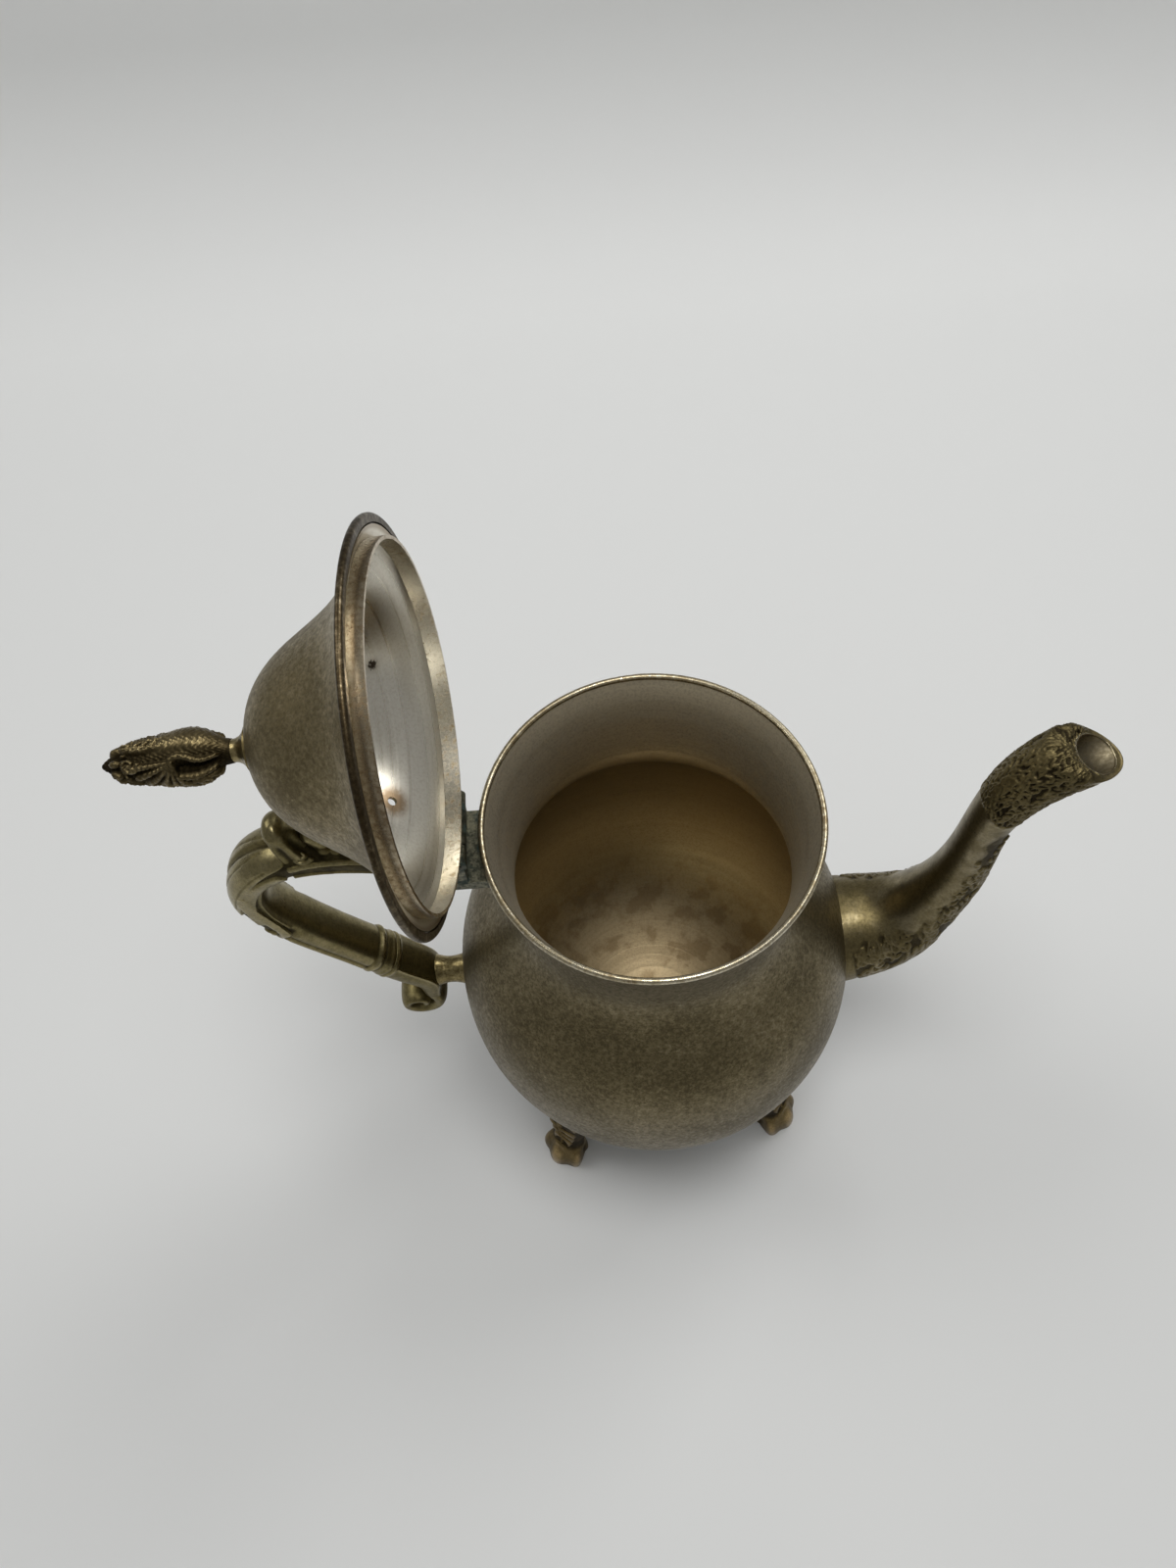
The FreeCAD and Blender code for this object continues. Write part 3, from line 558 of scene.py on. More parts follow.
# Lid's edge: almost black
lid_edge_plate = even_plate(
    "lid_edge_plate", [(0.0, (0.034, 0.024, 0.012)), (0.45, (0.068, 0.051, 0.028)),
                       (0.85, (0.13, 0.10, 0.058)), (1.0, (0.26, 0.215, 0.138))],
    rough=(0.46, 0.32), bump=(0.25, 0.0001), specks=0.4, speck_tint=(0.07, 0.045, 0.02))
# Turned brass of the peg and the finial's foot
turned_brass = even_plate(
    "turned_brass", [(0.0, (0.13, 0.098, 0.040)), (0.5, (0.27, 0.215, 0.098)), (1.0, (0.42, 0.34, 0.17))],
    rough=(0.42, 0.28), bump=(0.25, 0.0001), specks=0.3, speck_tint=(0.05, 0.036, 0.016))
# Spout bore: dull grey-brown
bore_plate = even_plate(
    "bore_plate", [(0.0, (0.20, 0.165, 0.10)), (0.6, (0.34, 0.29, 0.19)), (1.0, (0.46, 0.40, 0.28))],
    rough=(0.55, 0.4), bump=(0.3, 0.0001))

CASTING_DARKEST, CASTING_LIGHTEST = 0.72, 1.2


def casting(name, worn, plain, dark):
    """Cast brass whose plate has worn: dark hollows, rubbed tops."""
    made, tree, shader, spot = new_material(name)
    tone = put(tree, "ShaderNodeAttribute", {"attribute_name": "tone"}).outputs["Fac"]
    dirt = use(tree, casting_dirt, Place=spot["Object"], Tone=tone)
    tarnish = use(tree, plate_tarnish, Place=spot["Object"])
    colour = blend(tree, tarnish["Cloud"], [c * CASTING_DARKEST for c in plain],
                   [c * CASTING_LIGHTEST for c in plain])
    colour = blend(tree, dirt["Wear"], colour, worn)
    colour = specked(tree, tarnish, 0.3, colour, dark)
    colour = blend(tree, dirt["Dirt"], colour, dark)
    rough = span(tree, math_node(tree, "SUBTRACT", dirt["Wear"], dirt["Dirt"]), -1.0, 1.0, 0.66, 0.24)
    finish_material(tree, shader, colour, rough, dirt["Pits"], (0.3, 0.00012))
    return made


spout_cast = casting("spout_cast", (0.35, 0.30, 0.195), (0.160, 0.127, 0.058), (0.032, 0.024, 0.013))
handle_cast = casting("handle_cast", (0.345, 0.295, 0.160), (0.205, 0.170, 0.074), (0.028, 0.021, 0.010))
finial_cast = casting("finial_cast", (0.33, 0.26, 0.13), (0.115, 0.088, 0.042), (0.018, 0.013, 0.006))
foot_cast = casting("foot_cast", (0.40, 0.29, 0.14), (0.165, 0.120, 0.052), (0.026, 0.018, 0.008))

# Hinge: dark brass with green verdigris in patches
HINGE_TINTS = [(0.0, (0.030, 0.033, 0.025)), (0.5, (0.085, 0.088, 0.064)), (1.0, (0.26, 0.245, 0.17))]
VERDIGRIS_SCALE, VERDIGRIS = 240.0, (0.030, 0.050, 0.040)
hinge_brass, tree, shader, spot = new_material("hinge_brass")
tarnish = use(tree, plate_tarnish, Place=spot["Object"])
crust = noise(tree, spot["Object"], VERDIGRIS_SCALE, 4.0, 0.6)
crusted = span(tree, crust, 0.5, 0.62)
colour = blend(tree, crusted, ramp(tree, tarnish["Cloud"], HINGE_TINTS), VERDIGRIS)
finish_material(tree, shader, colour, span(tree, crusted, 0.0, 1.0, 0.42, 0.8), crust, (0.4, 0.0003))
tree.links.new(span(tree, crusted, 0.0, 1.0, 1.0, 0.25), shader.inputs["Metallic"])

for material, slot_name, names in (
        (body_plate, "tarnished_plate", ("pot_body", "base_disc")),
        (lid_plate, "tarnished_plate", ("lid_shell",)),
        (lid_edge_plate, "tarnished_plate", ("lid_rim",)),
        (rim_plate, "bright_plate", ("mouth_rim",)),
        (bezel_plate, "bright_plate", ("lid_bezel",)),
        (turned_brass, "cast_plate", ("finial_base",)),
        (hinge_brass, "hinge_brass", ("hinge_bracket", "hinge_pot_leaf", "hinge_pin", "hinge_lid_leaf",
                                      "finial_stud", "finial_washer", "finial_nut"))):
    for name in names:
        nodes[name].data.materials.clear()
        nodes[name].data.materials.append(material)

# Outer radius of the spun body at a height, taken from the metalwork
shell = nodes["pot_body"].data
co = np.array([v.co for v in shell.vertices]) / MM
normal = np.array([v.normal for v in shell.vertices])
outward = co * [1, 1, SQUAT] - [0, 0, SQUAT * BELLY_HEIGHT]
outer = co[(outward * normal).sum(1) > 0.5 * np.linalg.norm(outward, axis=1)]
outer = outer[np.argsort(outer[:, 2])]
shell_z = outer[:, 2]
shell_r = np.hypot(outer[:, 0], outer[:, 1])


def outside_pot(points, _s=None):
    """How far points stand out from half way through the pot's wall."""
    wall = np.interp(points[..., 2], shell_z, shell_r)
    return np.hypot(points[..., 0], points[..., 1]) - wall + HALF_WALL


# Spout: leaf on the outer half from the root up, a leafy collar below the slanted lip
SPOUT_STATIONS = [(43.2, 88.0, 17.0, 17.0), (55.8, 89.7, 15.5, 15.5), (66.4, 93.0, 14.0, 14.0),
                  (74.0, 99.6, 11.7, 11.7), (78.9, 109.4, 9.1, 9.1), (82.8, 123.2, 7.4, 7.4),
                  (84.8, 147.8, 6.0, 6.0), (86.6, 161.5, 6.4, 6.4), (90.2, 172.0, 7.2, 7.2),
                  (97.5, 181.6, 7.8, 7.8), (105.7, 186.8, 8.0, 8.0), (113.7, 188.6, 8.0, 8.0)]
SPOUT_RINGS, SPOUT_AROUND, LIP_RINGS, BORE_RINGS = 330, 220, 26, 70
SPOUT_WALL = 1.5
LIP_AT, LIP_TILT = (98.2, 183.7), math.radians(18.0)
LIP_TRIM_FROM = 80
LIP_HALF_WIDTH = 7.9
MOUTH_FORWARD, MOUTH_HALF_LENGTH, MOUTH_HALF_WIDTH = 3.0, 4.9, 5.3
BORE_SHORT, BORE_FUNNEL, BORE_TONE = 4.0, 0.16, 0.5
ROOT_ZONE = (13.5, 15), (74, 62)
STEM_ZONE = (58, 66), (95, 88)
COLLAR_FROM, COLLAR_EDGE, COLLAR_MAP = 95, (97, 98.5), 7.0
spout_arm = arm(SPOUT_STATIONS)
root_leaves = leaf((15, 0), 0, 54, 11, lobes=10, fat=1.3) + mirrored(
    leaf((15, 10), 30, 20, 7, lobes=6, bend=-30)
    + foliage(rows=(15, 46), columns=(12, 40), step=5.2, size=7.5, heading=15, fat=0.8)
    + foliage(rows=(44, 72), columns=(5, 17), step=4.4, size=6.5, heading=-8, fat=0.7)
    + scroll((22, 31), radius=4.4, start=200, turns=1.4)
    + scroll((40, 23), radius=3.6, start=180, turns=1.4, hand=-1, fat=0.8))
root_leaves += leaf((66, 0), 0, 28, 4.0, lobes=8, fat=0.8)
root_leaves += mirrored(leaf((62, 6.0), 0, 26, 3.0, lobes=7, bend=-6, fat=0.7))
collar_leaves = foliage(rows=(97, 134), columns=(-24, 24), step=3.1, size=5.6, heading=180, fat=0.46)
for across in (-20.0, -10.0, 0.0, 10.0, 20.0):
    collar_leaves += leaf((122, across), 180, 23, 3.0, lobes=9, fat=0.6)


def spout_keep(points, s):
    lip = LIP_AT[1] - math.tan(LIP_TILT) * (points[..., 0] - LIP_AT[0]) - points[..., 2]
    return np.where(s > LIP_TRIM_FROM, lip, outside_pot(points))


def spout_relief(s, angle, radius, end):
    """Height in millimetres and tone."""
    turn = angle - math.pi
    aside = np.abs(turn)
    reach = 1.95 + 0.5 * soft(s, 46, 28)
    on_root = soft(aside + 0.10 * np.cos(s * 0.8), reach, reach - 0.22) * zone(s, *ROOT_ZONE)
    on_stem = soft(aside + 0.12 * np.cos(s * 0.7), 1.8, 1.5) * zone(s, *STEM_ZONE)
    on_collar = soft(s - 1.6 * np.cos(2 * turn), *COLLAR_EDGE)
    on_collar = on_collar * np.maximum(soft(end - s, 1.6, 2.6), soft(aside, 1.2, 1.9))
    where = np.maximum(np.maximum(on_root, on_stem), on_collar)
    low = s < COLLAR_FROM
    ridge = np.where(low, ridges(s, turn * radius, root_leaves), ridges(s, turn * COLLAR_MAP, collar_leaves))
    height = where * np.where(low, -0.22 + 0.62 * ridge, -0.34 + 0.78 * ridge)
    tops = np.where(low, 0.11 + 0.50 * ridge, 0.42 * ridge)
    tone = (0.6 - 0.1 * soft(s, 40, 22)) * (1 - where) + where * tops
    return height, np.clip(tone, 0, 1)


def lip_face(rim, angles, end):
    """Slanted end of the spout: leafy behind, then a plain lip round an oval mouth near the pouring edge."""
    along = np.array([math.cos(LIP_TILT), 0, -math.sin(LIP_TILT)])
    normal = np.array([math.sin(LIP_TILT), 0, math.cos(LIP_TILT)])
    across = np.array([0, 1.0, 0])
    centre = (rim.min(0) + rim.max(0)) / 2
    half = ((rim - centre) @ along).max()
    mouth = centre + along * MOUTH_FORWARD
    beta = np.arctan2((rim @ across) / LIP_HALF_WIDTH, ((rim - mouth) @ along) / half)
    oval = mouth + MOUTH_HALF_LENGTH * np.cos(beta)[:, None] * along
    oval = oval + MOUTH_HALF_WIDTH * np.sin(beta)[:, None] * across
    v = np.linspace(0, 1, LIP_RINGS + 1)[1:, None]
    flat = rim[None] * (1 - v[..., None]) + oval[None] * v[..., None]
    s = end[None] + v * np.linalg.norm(rim - oval, axis=1)[None]
    ridge = ridges(s, (angles[None] - math.pi) * COLLAR_MAP * (1 - 0.4 * v), collar_leaves)
    back = soft(np.cos(beta), 0.15, -0.55)[None]
    leafy = back * soft(v, 0.92, 0.80)
    bead = hump(v, 0.93, 0.07)
    height = back * 1.5 * np.sin(math.pi * v) + leafy * (0.7 * ridge - 0.3)
    height = height + 0.35 * bead + 0.15 * hump(v, 0.1, 0.15)
    tone = leafy * 0.34 * ridge + (1 - leafy) * 0.5 + 0.45 * bead
    return flat + normal * height[..., None], np.clip(tone, 0, 1), oval


def build_spout():
    """One continuous skin: up the outside, over the lip and down the bore."""
    around = SPOUT_AROUND
    angles = np.linspace(0, 2 * math.pi, around, endpoint=False)
    start, end = trimmed(spout_arm, angles, spout_keep)
    s = start + (end - start) * np.linspace(0, 1, SPOUT_RINGS)[:, None]
    grid = np.repeat(angles[None], SPOUT_RINGS, 0)
    points, out = skin(spout_arm, s, grid)
    height, tone = spout_relief(s, grid, look_up(spout_arm, "depth", s), end[None])
    points = points + out * height[..., None]
    face, face_tone, oval = lip_face(points[-1], angles, end)
    begin, finish = trimmed(spout_arm, angles, spout_keep, inset=SPOUT_WALL)
    v = np.linspace(1, 0, BORE_RINGS + 1)[1:, None]
    bore_s = begin + (finish - BORE_SHORT - begin) * v
    bore, _ = skin(spout_arm, bore_s, np.repeat(angles[None], BORE_RINGS, 0), inset=SPOUT_WALL)
    funnel = soft(1 - v, 0.0, BORE_FUNNEL)[..., None]
    bore = oval[None] * (1 - funnel) + bore * funnel
    verts = np.concatenate([points, face, bore]).reshape(-1, 3)
    total = len(verts) // around
    faces = ring_faces(total, around)
    last = (total - 1) * around
    for j in range(around):
        k = (j + 1) % around
        faces.append((j, k, last + k, last + j))
    tones = np.concatenate([tone.ravel(), face_tone.ravel(), np.full(bore[..., 0].size, BORE_TONE)])
    piece("spout_casting", (verts, faces, tones), spout_cast, "pot", "spout",
          bore_plate, range((SPOUT_RINGS + LIP_RINGS) * around, last))


build_spout()


def plain_relief(tone):
    def relief(s, angle):
        return np.zeros_like(s), np.full(s.shape, tone)
    return relief


# Handle grip: leaf on the upper arm, a leafy sheath round the bend, a railed panel below and a beaded collar
GRIP_STATIONS = [(-49.0, 160.4, 3.9, 7.2), (-64.0, 162.8, 3.9, 6.6), (-78.0, 165.8, 4.3, 6.6),
                 (-91.0, 165.0, 5.0, 7.0), (-100.5, 157.5, 5.0, 7.0), (-103.8, 145.0, 4.8, 6.8),
                 (-100.2, 132.0, 4.7, 6.7), (-93.0, 119.0, 4.5, 6.5), (-84.0, 105.0, 4.4, 6.4),
                 (-78.4, 96.4, 4.6, 6.6)]
GRIP_MAP = 5.6
GRIP_LEAF_ZONE = (4, 6), (88, 84)
ROSETTE_AT, ROSETTE_RADIUS = 30, 2.5
grip_arm = arm(GRIP_STATIONS)


def grip_strokes():
    """Raised leaves and straps, and the veins cut into them."""
    t = np.linspace(0, 1, 60)
    swell = np.sin(math.pi * t)

    def course(start, length, across):
        return np.stack([start + length * t, across], 1)

    strokes = leaf((6, 0), 0, 20, 6.5, lobes=5, fat=1.15)
    for a in np.radians(range(0, 360, 60)):
        petal = (ROSETTE_AT + ROSETTE_RADIUS * math.cos(a), ROSETTE_RADIUS * math.sin(a))
        strokes.append(stroke([petal], 1.35, top=0.85))
    strokes.append(stroke([(ROSETTE_AT, 0)], 1.3))
    strokes += mirrored(
        [stroke(course(5, 34, 7.4 - 1.6 * swell), 0.9, top=0.8, flat=1.6),
         stroke(course(5, 34, 11.0 + 1.2 * swell), 1.0, top=0.9, flat=1.6)]
        + scroll((24, 4.4), radius=2.0, start=120, turns=1.2, fat=0.7)
        + scroll((36, 3.8), radius=2.0, start=160, turns=1.2, hand=-1, fat=0.7)
        + [stroke(course(43, 24, 3.6 + 0.8 * swell), 3.3 + 0.9 * swell, top=0.9, flat=2.4),
           stroke(course(44, 30, 10.6 - 1.8 * t), 1.9 - 0.7 * t, top=0.85, flat=2.2),
           stroke(course(60, 24, 7.4 + 2.8 * np.sin(2.4 * t)), 1.6 - 0.5 * t, flat=1.8),
           stroke(course(52, 30, 13.6 - 1.2 * t), 1.0 - 0.2 * t, top=0.8, flat=1.6)]
        + scroll((82, 5.8), radius=3.4, start=90, turns=1.3, hand=-1, fat=1.0))
    strokes += leaf((68, 0), 0, 18, 4.5, lobes=5)
    veins = mirrored([stroke(course(45, 20, across + 0.9 * swell), 0.28) for across in (1.2, 6.0)])
    return strokes, veins


def grip_relief(s, angle):
    turn = angle - math.pi
    aside = np.abs(turn)
    to_end = grip_arm["along"][-1] - s
    strokes, veins = grip_strokes()
    ridge = ridges(s, turn * GRIP_MAP, strokes)
    covered = zone(s, *GRIP_LEAF_ZONE) * soft(aside, 2.35, 2.0)
    veined = covered * ridges(s, turn * GRIP_MAP, veins)
    panel = soft(s, 84, 88) * soft(to_end, 6, 7.5)
    rail = panel * (hump(aside, 1.32, 0.11) + 0.8 * hump(aside, 0.92, 0.12))
    line = panel * (hump(aside, 1.53, 0.06) + hump(aside, 1.12, 0.06))
    bead = hump(to_end, 5.2, 0.9) + 0.5 * hump(to_end, 0.8, 0.7)
    groove = hump(to_end, 6.9, 0.4) + hump(to_end, 3.7, 0.4)
    height = covered * (-0.35 + 0.85 * ridge) - 0.18 * veined
    height = height + 0.45 * rail - 0.28 * line + 0.55 * bead - 0.15 * groove
    tone = 0.6 * (1 - covered) + covered * np.clip(0.10 + 0.62 * ridge - 0.25 * veined, 0, 1)
    tone = tone + 0.12 * rail - 0.45 * line + 0.12 * bead - 0.45 * groove
    return height, np.clip(tone, 0, 1)


# Thumb rest: a ribbed lobe with a small curl in front of it
def thumb_relief(s, angle):
    ribs = 0.5 + 0.5 * np.cos((angle - math.pi) * 6)
    low = soft(s, 14, 10)
    return 0.9 * ribs * low - 0.45 * low, 0.6 - 0.5 * low * (1 - ribs)


thumb_arm = arm([(-85.0, 164.8, 4.4, 6.2), (-87.4, 170.0, 3.7, 5.6), (-88.8, 174.6, 3.2, 5.0),
                 (-90.0, 178.0, 2.9, 4.4), (-91.2, 180.4, 2.6, 3.6)])
curl_arm = arm([(-78.6, 166.6, 2.8, 3.8), (-80.6, 170.6, 2.4, 3.2), (-82.4, 173.6, 2.1, 2.8),
                (-84.0, 175.2, 1.7, 2.4)])
piece("handle_grip_casting", joined(
    solid_arm(grip_arm, grip_relief, rings=420, around=120, square=2.6),
    solid_arm(thumb_arm, thumb_relief, rings=60, around=72, square=2.3, round_end=3.2),
    solid_arm(curl_arm, plain_relief(0.58), rings=40, around=56, square=2.2, round_end=2.0)),
    handle_cast, "pot", "handle_grip")

# Lower end of the handle: it tapers and winds into a volute
VOLUTE = (-72.8, 67.4)
VOLUTE_START, VOLUTE_SWEEP = 36, 470
VOLUTE_REACH, VOLUTE_EYE = 5.7, 0.6
SCROLL_STATIONS = [(-78.4, 96.4, 4.6, 6.6), (-72.6, 87.4, 4.3, 6.3), (-68.0, 79.0, 3.7, 5.9)]
for t in np.linspace(0, 1, 26):
    angle = math.radians(VOLUTE_START - VOLUTE_SWEEP * t)
    reach = VOLUTE_REACH * (1 - t) ** 0.8 + VOLUTE_EYE
    SCROLL_STATIONS.append((VOLUTE[0] + reach * math.cos(angle), VOLUTE[1] + reach * math.sin(angle),
                            2.5 - 1.2 * t, 5.9 + 0.6 * math.sin(math.pi * t)))
SCROLL_MAP = 5.4
scroll_arm = arm(SCROLL_STATIONS, 900)


def scroll_relief(s, angle):
    turn = angle - math.pi
    aside = np.abs(turn)
    upper = zone(s, (1.5, 3), (30, 26))
    rail = upper * (hump(aside, 2.2, 0.14) + hump(aside, 0.8, 0.16))
    ridge = ridges(s, turn * SCROLL_MAP, leaf((24, 0), 180, 18, 5, lobes=4, fat=0.9))
    front = upper * soft(aside, 0.75, 0.6)
    bead = hump(s, 1.2, 0.8)
    height = 0.35 * rail + front * (0.7 * ridge - 0.25) + 0.4 * bead
    tone = 0.5 + 0.3 * rail + front * (ridge - 0.45) + 0.2 * bead
    return height, np.clip(tone, 0, 1)


piece("handle_volute_casting",
      solid_arm(scroll_arm, scroll_relief, rings=320, around=72, square=2.6, round_end=1.2),
      handle_cast, "pot", "handle_lower_scroll")

# Peg between the belly and the handle, turned with a flare at each end: distance out and radius
PEG_STATIONS = ((-55.8, 5.3), (-58.0, 4.5), (-60.6, 4.0), (-63.4, 4.2), (-66.0, 4.9), (-67.6, 5.0))
peg_arm = arm([(out, BELLY_HEIGHT, half, half) for out, half in PEG_STATIONS])
piece("peg_turning", solid_arm(peg_arm, plain_relief(0.6), rings=48, around=80, square=2.0, keep=outside_pot),
      turned_brass, "pot", "handle_peg")

# Feet: broad leaf feet with three toes, set round the pot at these bearings in degrees
FOOT_STATIONS = [(48.8, 0.0, 6.2, 7.2), (48.6, 3.6, 6.0, 7.2), (47.4, 8.6, 4.6, 6.0), (46.4, 14.0, 4.0, 5.8),
                 (46.0, 24.0, 4.2, 6.6), (44.4, 36.0, 5.0, 7.8), (40.0, 46.0, 4.8, 8.2)]
FOOT_BEARINGS = (("foot_spout_left", 47.4), ("foot_spout_right", -37.6), ("foot_handle_left", 142.4),
                 ("foot_handle_right", -132.6))
FOOT_MAP = 5.0
TOE_SPREAD, TOE_HALF = 1.15, 0.42
foot_arm = arm(FOOT_STATIONS)


def foot_relief(s, angle):
    turn = angle - math.pi
    aside = np.abs(turn)
    toes = hump(turn, -TOE_SPREAD, TOE_HALF) + hump(turn, 0.0, TOE_HALF) + hump(turn, TOE_SPREAD, TOE_HALF)
    low = soft(s, 10, 5) * soft(aside, 2.3, 1.9)
    ridge = ridges(s, turn * FOOT_MAP, leaf((45, 0), 180, 38, 7, lobes=6))
    covered = soft(s, 7, 11) * soft(aside, 2.1, 1.8)
    height = low * (1.7 * toes - 1.0) + covered * (0.9 * ridge - 0.4)
    tone = 0.45 * (1 - covered) + low * (0.62 * toes - 0.35) + covered * (0.04 + 0.6 * ridge)
    return height, np.clip(tone, 0, 1)


for name, bearing in FOOT_BEARINGS:
    c, d = math.cos(math.radians(bearing)), math.sin(math.radians(bearing))

    def stand(v, c=c, d=d):
        return np.array([v[0] * c - v[1] * d, v[0] * d + v[1] * c, max(v[2], 0.0)])

    piece(name + "_casting",
          solid_arm(foot_arm, foot_relief, rings=110, around=72, square=2.3, keep=outside_pot, place=stand),
          foot_cast, "pot", name)

# Finial: foliate bud, smooth on its upper swelling and leafy on its other sides. Distance out and radius
BUD_STATIONS = ((0.0, 2.6), (2.6, 3.7), (5.6, 5.2), (9.2, 5.8), (13.6, 5.3), (18.6, 4.6), (23.0, 3.7),
                (27.0, 2.5), (29.4, 1.6))
BUD_MAP, BUD_TURN = 5.2, 0.38
FAN_AT, FAN_LENGTH, FAN_RISE, FAN_DEGREES = (11.5, 5.6), 9.5, 9.0, (6, 24, 42, 60, 78, 96)
bud_arm = arm([(out, 0.0, half, half) for out, half in BUD_STATIONS])


def bud_strokes():
    strokes = []
    t = np.linspace(0, 1, 30)
    u = np.linspace(0, 1, 40)
    for hand in (-1, 1):
        for a in np.radians(FAN_DEGREES):
            rib = [FAN_AT[0] + FAN_LENGTH * t * math.cos(a), hand * (FAN_AT[1] + FAN_RISE * t * math.sin(a))]
            strokes.append(stroke(np.stack(rib, 1), 0.35 + 0.75 * t, top=0.85))
        stem = [2.5 + 9.5 * u, hand * (5.4 + 0.7 * np.sin(6 * u))]
        edge = [3.5 + 7.0 * t, hand * (9.2 + 0.5 * np.sin(3 * t))]
        strokes += [stroke(np.stack(stem, 1), 0.75, top=0.85), stroke(np.stack(edge, 1), 0.8, top=0.7)]
        strokes += leaf((2.2, hand * 13.0), 2, 13, 3.6, lobes=5, fat=0.8)
        strokes += leaf((15, hand * 14.2), 4, 9, 2.6, lobes=4, fat=0.7)
        strokes += scroll((6.5, hand * 12.0), radius=2.2, start=0, turns=1.3, hand=hand, fat=0.7)
        strokes += scroll((21.6, hand * 5.4), radius=2.2, start=180, turns=1.3, hand=-hand, fat=0.8)
    strokes += leaf((12.5, 0), 0, 10, 4.4, lobes=5, fat=0.85)
    strokes += [stroke([(25.2, across)], 1.6) for across in (-13.0, -9.0, -4.6, 0.2, 4.6, 9.0, 13.0)]
    band = np.linspace(-16, 16, 20)
    return strokes + [stroke(np.stack([np.full_like(band, 23.0), band], 1), 0.7, top=0.7)]


def bud_relief(s, angle):
    turn = np.mod(angle - BUD_TURN + math.pi, 2 * math.pi) - math.pi
    w = turn * BUD_MAP
    ridge = ridges(s, w, bud_strokes())
    lobe = np.exp(-np.abs((s - 8.6) / 7.4) ** 4 - np.abs(turn / 0.74) ** 4)
    slot = np.exp(-np.abs((s - 7.0) / 4.2) ** 4 - ((np.abs(turn) - 1.42) / 0.15) ** 2)
    grain = 0.5 + 0.5 * np.sin(s * 5.1 + 2.0 * np.sin(w * 2.3)) * np.sin(w * 3.7 + s)
    height = (1 - lobe) * (-0.85 + 1.7 * ridge + 0.3 * grain) + (0.55 + 0.15 * grain) * lobe
    tone = (0.62 + 0.1 * grain) * lobe + (1 - lobe) * np.clip(0.02 + 0.55 * ridge + 0.12 * grain, 0, 1)
    return height * soft(s, 0, 2.5) - 1.2 * slot, np.clip(tone - slot, 0, 1)


axis = np.array(LID_AXIS)
rise = np.array([LID_AXIS[2], 0.0, -LID_AXIS[0]])
foot_of_bud = np.array(BRIM_CENTRE) + axis * FINIAL_FOOT


def on_lid(v):
    return foot_of_bud + axis * v[0] + rise * v[2] + np.array([0, v[1], 0])


# Placing the bud on the open lid mirrors it, so its faces are turned back outwards
verts, faces, tones = solid_arm(bud_arm, bud_relief, rings=190, around=170, square=2.0, place=on_lid,
                                round_end=2.6)
piece("finial_bud", (verts, [face[::-1] for face in faces], tones), finial_cast, "lid", "finial")

# Table: a pale sheet that sweeps up behind the pot, in metres and degrees
SHEET_REACH = 3.0
BEND_AT, BEND_RADIUS, BEND_FROM, BEND_TO, BEND_STEPS = 0.375, 0.10, 3, 88.0, 20
WALL_RUN = 0.10
PAPER, PAPER_ROUGH = (0.78, 0.785, 0.775, 1), 0.85
line = [(-SHEET_REACH, 0.0), (BEND_AT, 0.0)]
for a in np.radians(np.linspace(BEND_FROM, BEND_TO, BEND_STEPS)):
    line.append((BEND_AT + BEND_RADIUS * math.sin(a), BEND_RADIUS * (1 - math.cos(a))))
slope = math.radians(BEND_TO)
line.append((line[-1][0] + WALL_RUN * math.cos(slope), line[-1][1] + WALL_RUN * math.sin(slope)))
sheet_mesh = bpy.data.meshes.new("paper_sweep")
sheet_mesh.from_pydata([(x, y, z) for y, z in line for x in (-SHEET_REACH, SHEET_REACH)], [],
                       [(i, i + 1, i + 3, i + 2) for i in range(0, 2 * len(line) - 2, 2)])
sheet_mesh.polygons.foreach_set("use_smooth", [True] * len(sheet_mesh.polygons))
paper = bpy.data.materials.new("pale_paper")
paper.use_nodes = True
paper.node_tree.nodes["Principled BSDF"].inputs["Base Color"].default_value = PAPER
paper.node_tree.nodes["Principled BSDF"].inputs["Roughness"].default_value = PAPER_ROUGH
sheet_mesh.materials.append(paper)
table_sheet = bpy.data.objects.new("paper_sweep", sheet_mesh)
bpy.context.scene.collection.objects.link(table_sheet)

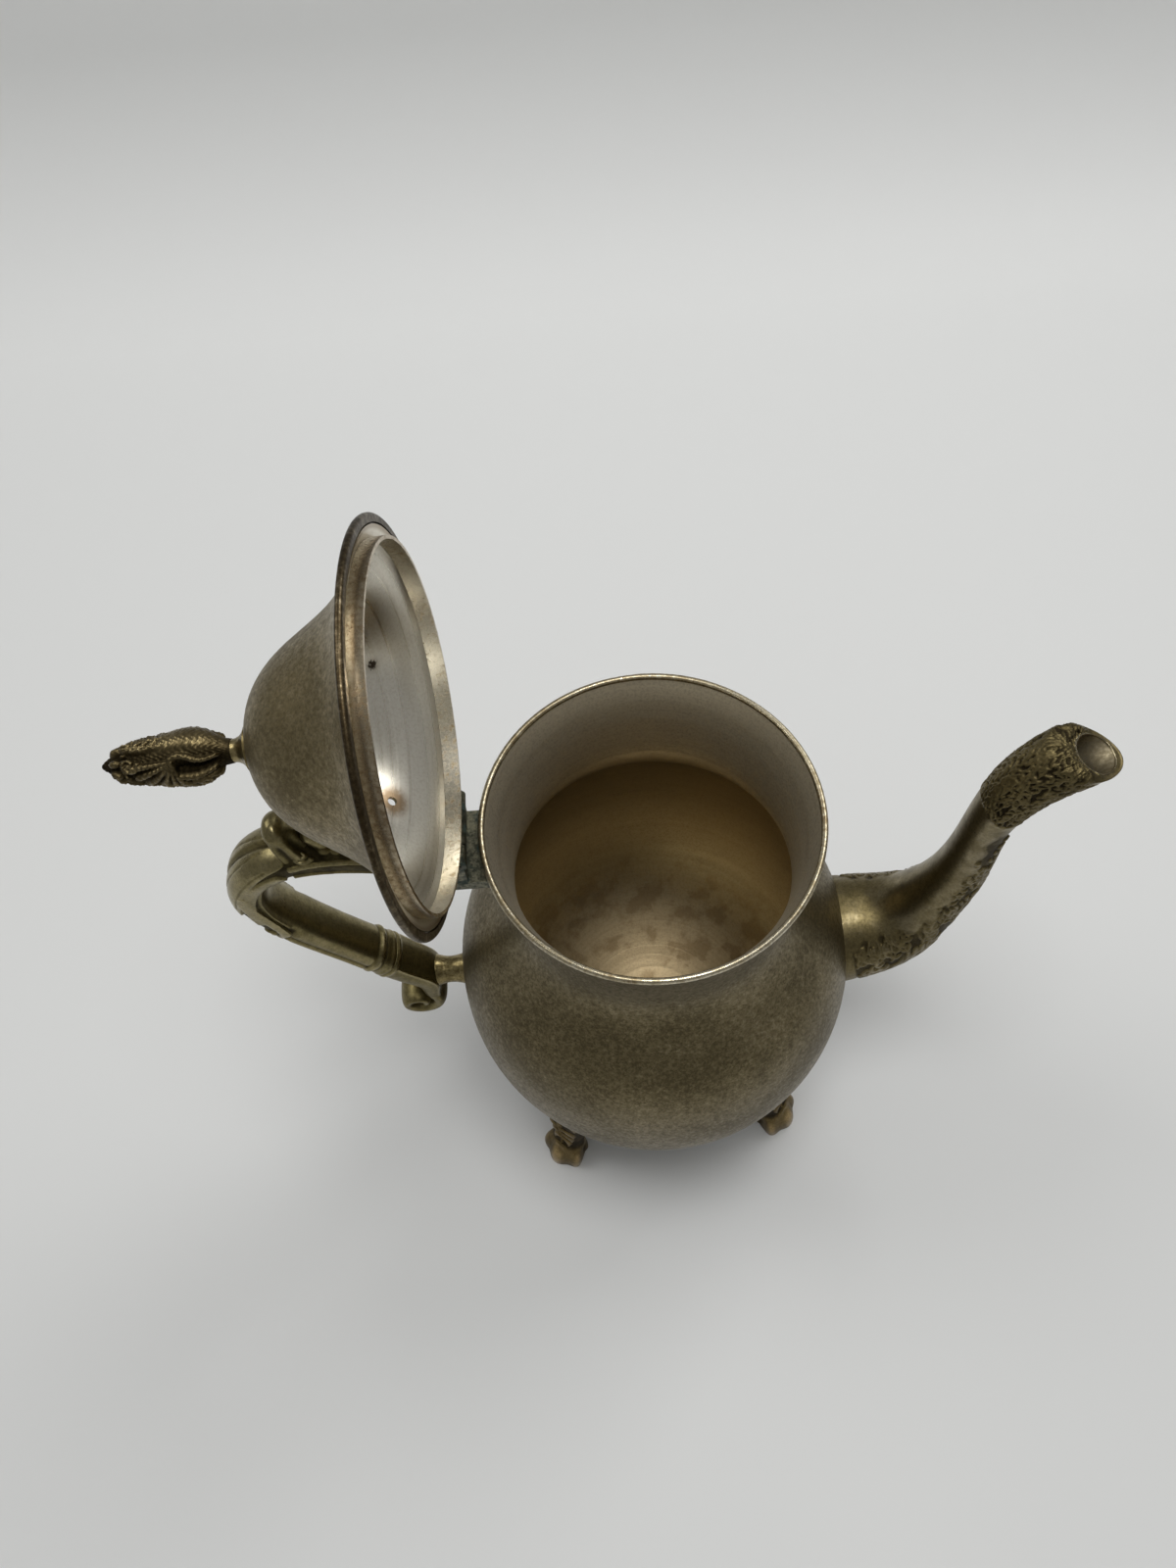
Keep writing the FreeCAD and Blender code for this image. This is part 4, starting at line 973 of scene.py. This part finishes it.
# Light: a dim room with three soft lamps above: place, aim, width in metres and power in watts
LAMPS = (("lamp_overhead", (0.05, -0.10, 1.0), (0, 0.03, 0), 0.34, 2.9),
         ("lamp_back_right", (0.50, 0.46, 1.0), (0, 0.0, 0), 0.6, 3.6),
         ("lamp_left", (-0.75, 0.28, 1.0), (0, 0, 0.05), 0.6, 2.9))
ROOM_TINTS = [(0.0, (0.27, 0.27, 0.27)), (0.25, (0.27, 0.27, 0.27)), (0.6, (0.23, 0.23, 0.225)),
              (1.0, (0.20, 0.20, 0.195))]
for name, place, aim, size, power in LAMPS:
    data = bpy.data.lights.new(name, "AREA")
    data.shape = "DISK"
    data.size = size
    data.energy = power
    made = bpy.data.objects.new(name, data)
    made.location = place
    made.rotation_euler = (Vector(aim) - Vector(place)).to_track_quat("-Z", "Y").to_euler()
    bpy.context.scene.collection.objects.link(made)
world = bpy.data.worlds.new("studio_room")
bpy.context.scene.world = world
world.use_nodes = True
tree = world.node_tree
towards = tree.nodes.new("ShaderNodeTexCoord").outputs["Generated"]
height = put(tree, "ShaderNodeSeparateXYZ", Vector=towards).outputs["Z"]
tree.links.new(ramp(tree, height, ROOM_TINTS), tree.nodes["Background"].inputs["Color"])
tree.nodes["Background"].inputs["Strength"].default_value = 1.0

# Camera: its place in metres, its directions, and its focal length from pixels of the picture's height
EYE = Vector((-0.01063, -0.14462, 0.44130))
RIGHT = Vector((0.99696, -0.06013, -0.04958))
DOWN = Vector((-0.07676, -0.86751, -0.49147))
AHEAD = Vector((-0.01346, 0.49378, -0.86948))
SENSOR, FOCAL_PIXELS, PICTURE_PIXELS = 36.0, 1300, 1600
camera = bpy.data.objects.new("camera", bpy.data.cameras.new("camera"))
camera.data.sensor_width = SENSOR
camera.data.lens = FOCAL_PIXELS * SENSOR / PICTURE_PIXELS
camera.data.clip_start = 0.01
camera.matrix_world = Matrix((RIGHT, -DOWN, -AHEAD)).transposed().to_4x4()
camera.location = EYE
bpy.context.scene.collection.objects.link(camera)
bpy.context.scene.camera = camera
bpy.context.scene.view_settings.view_transform = "Standard"
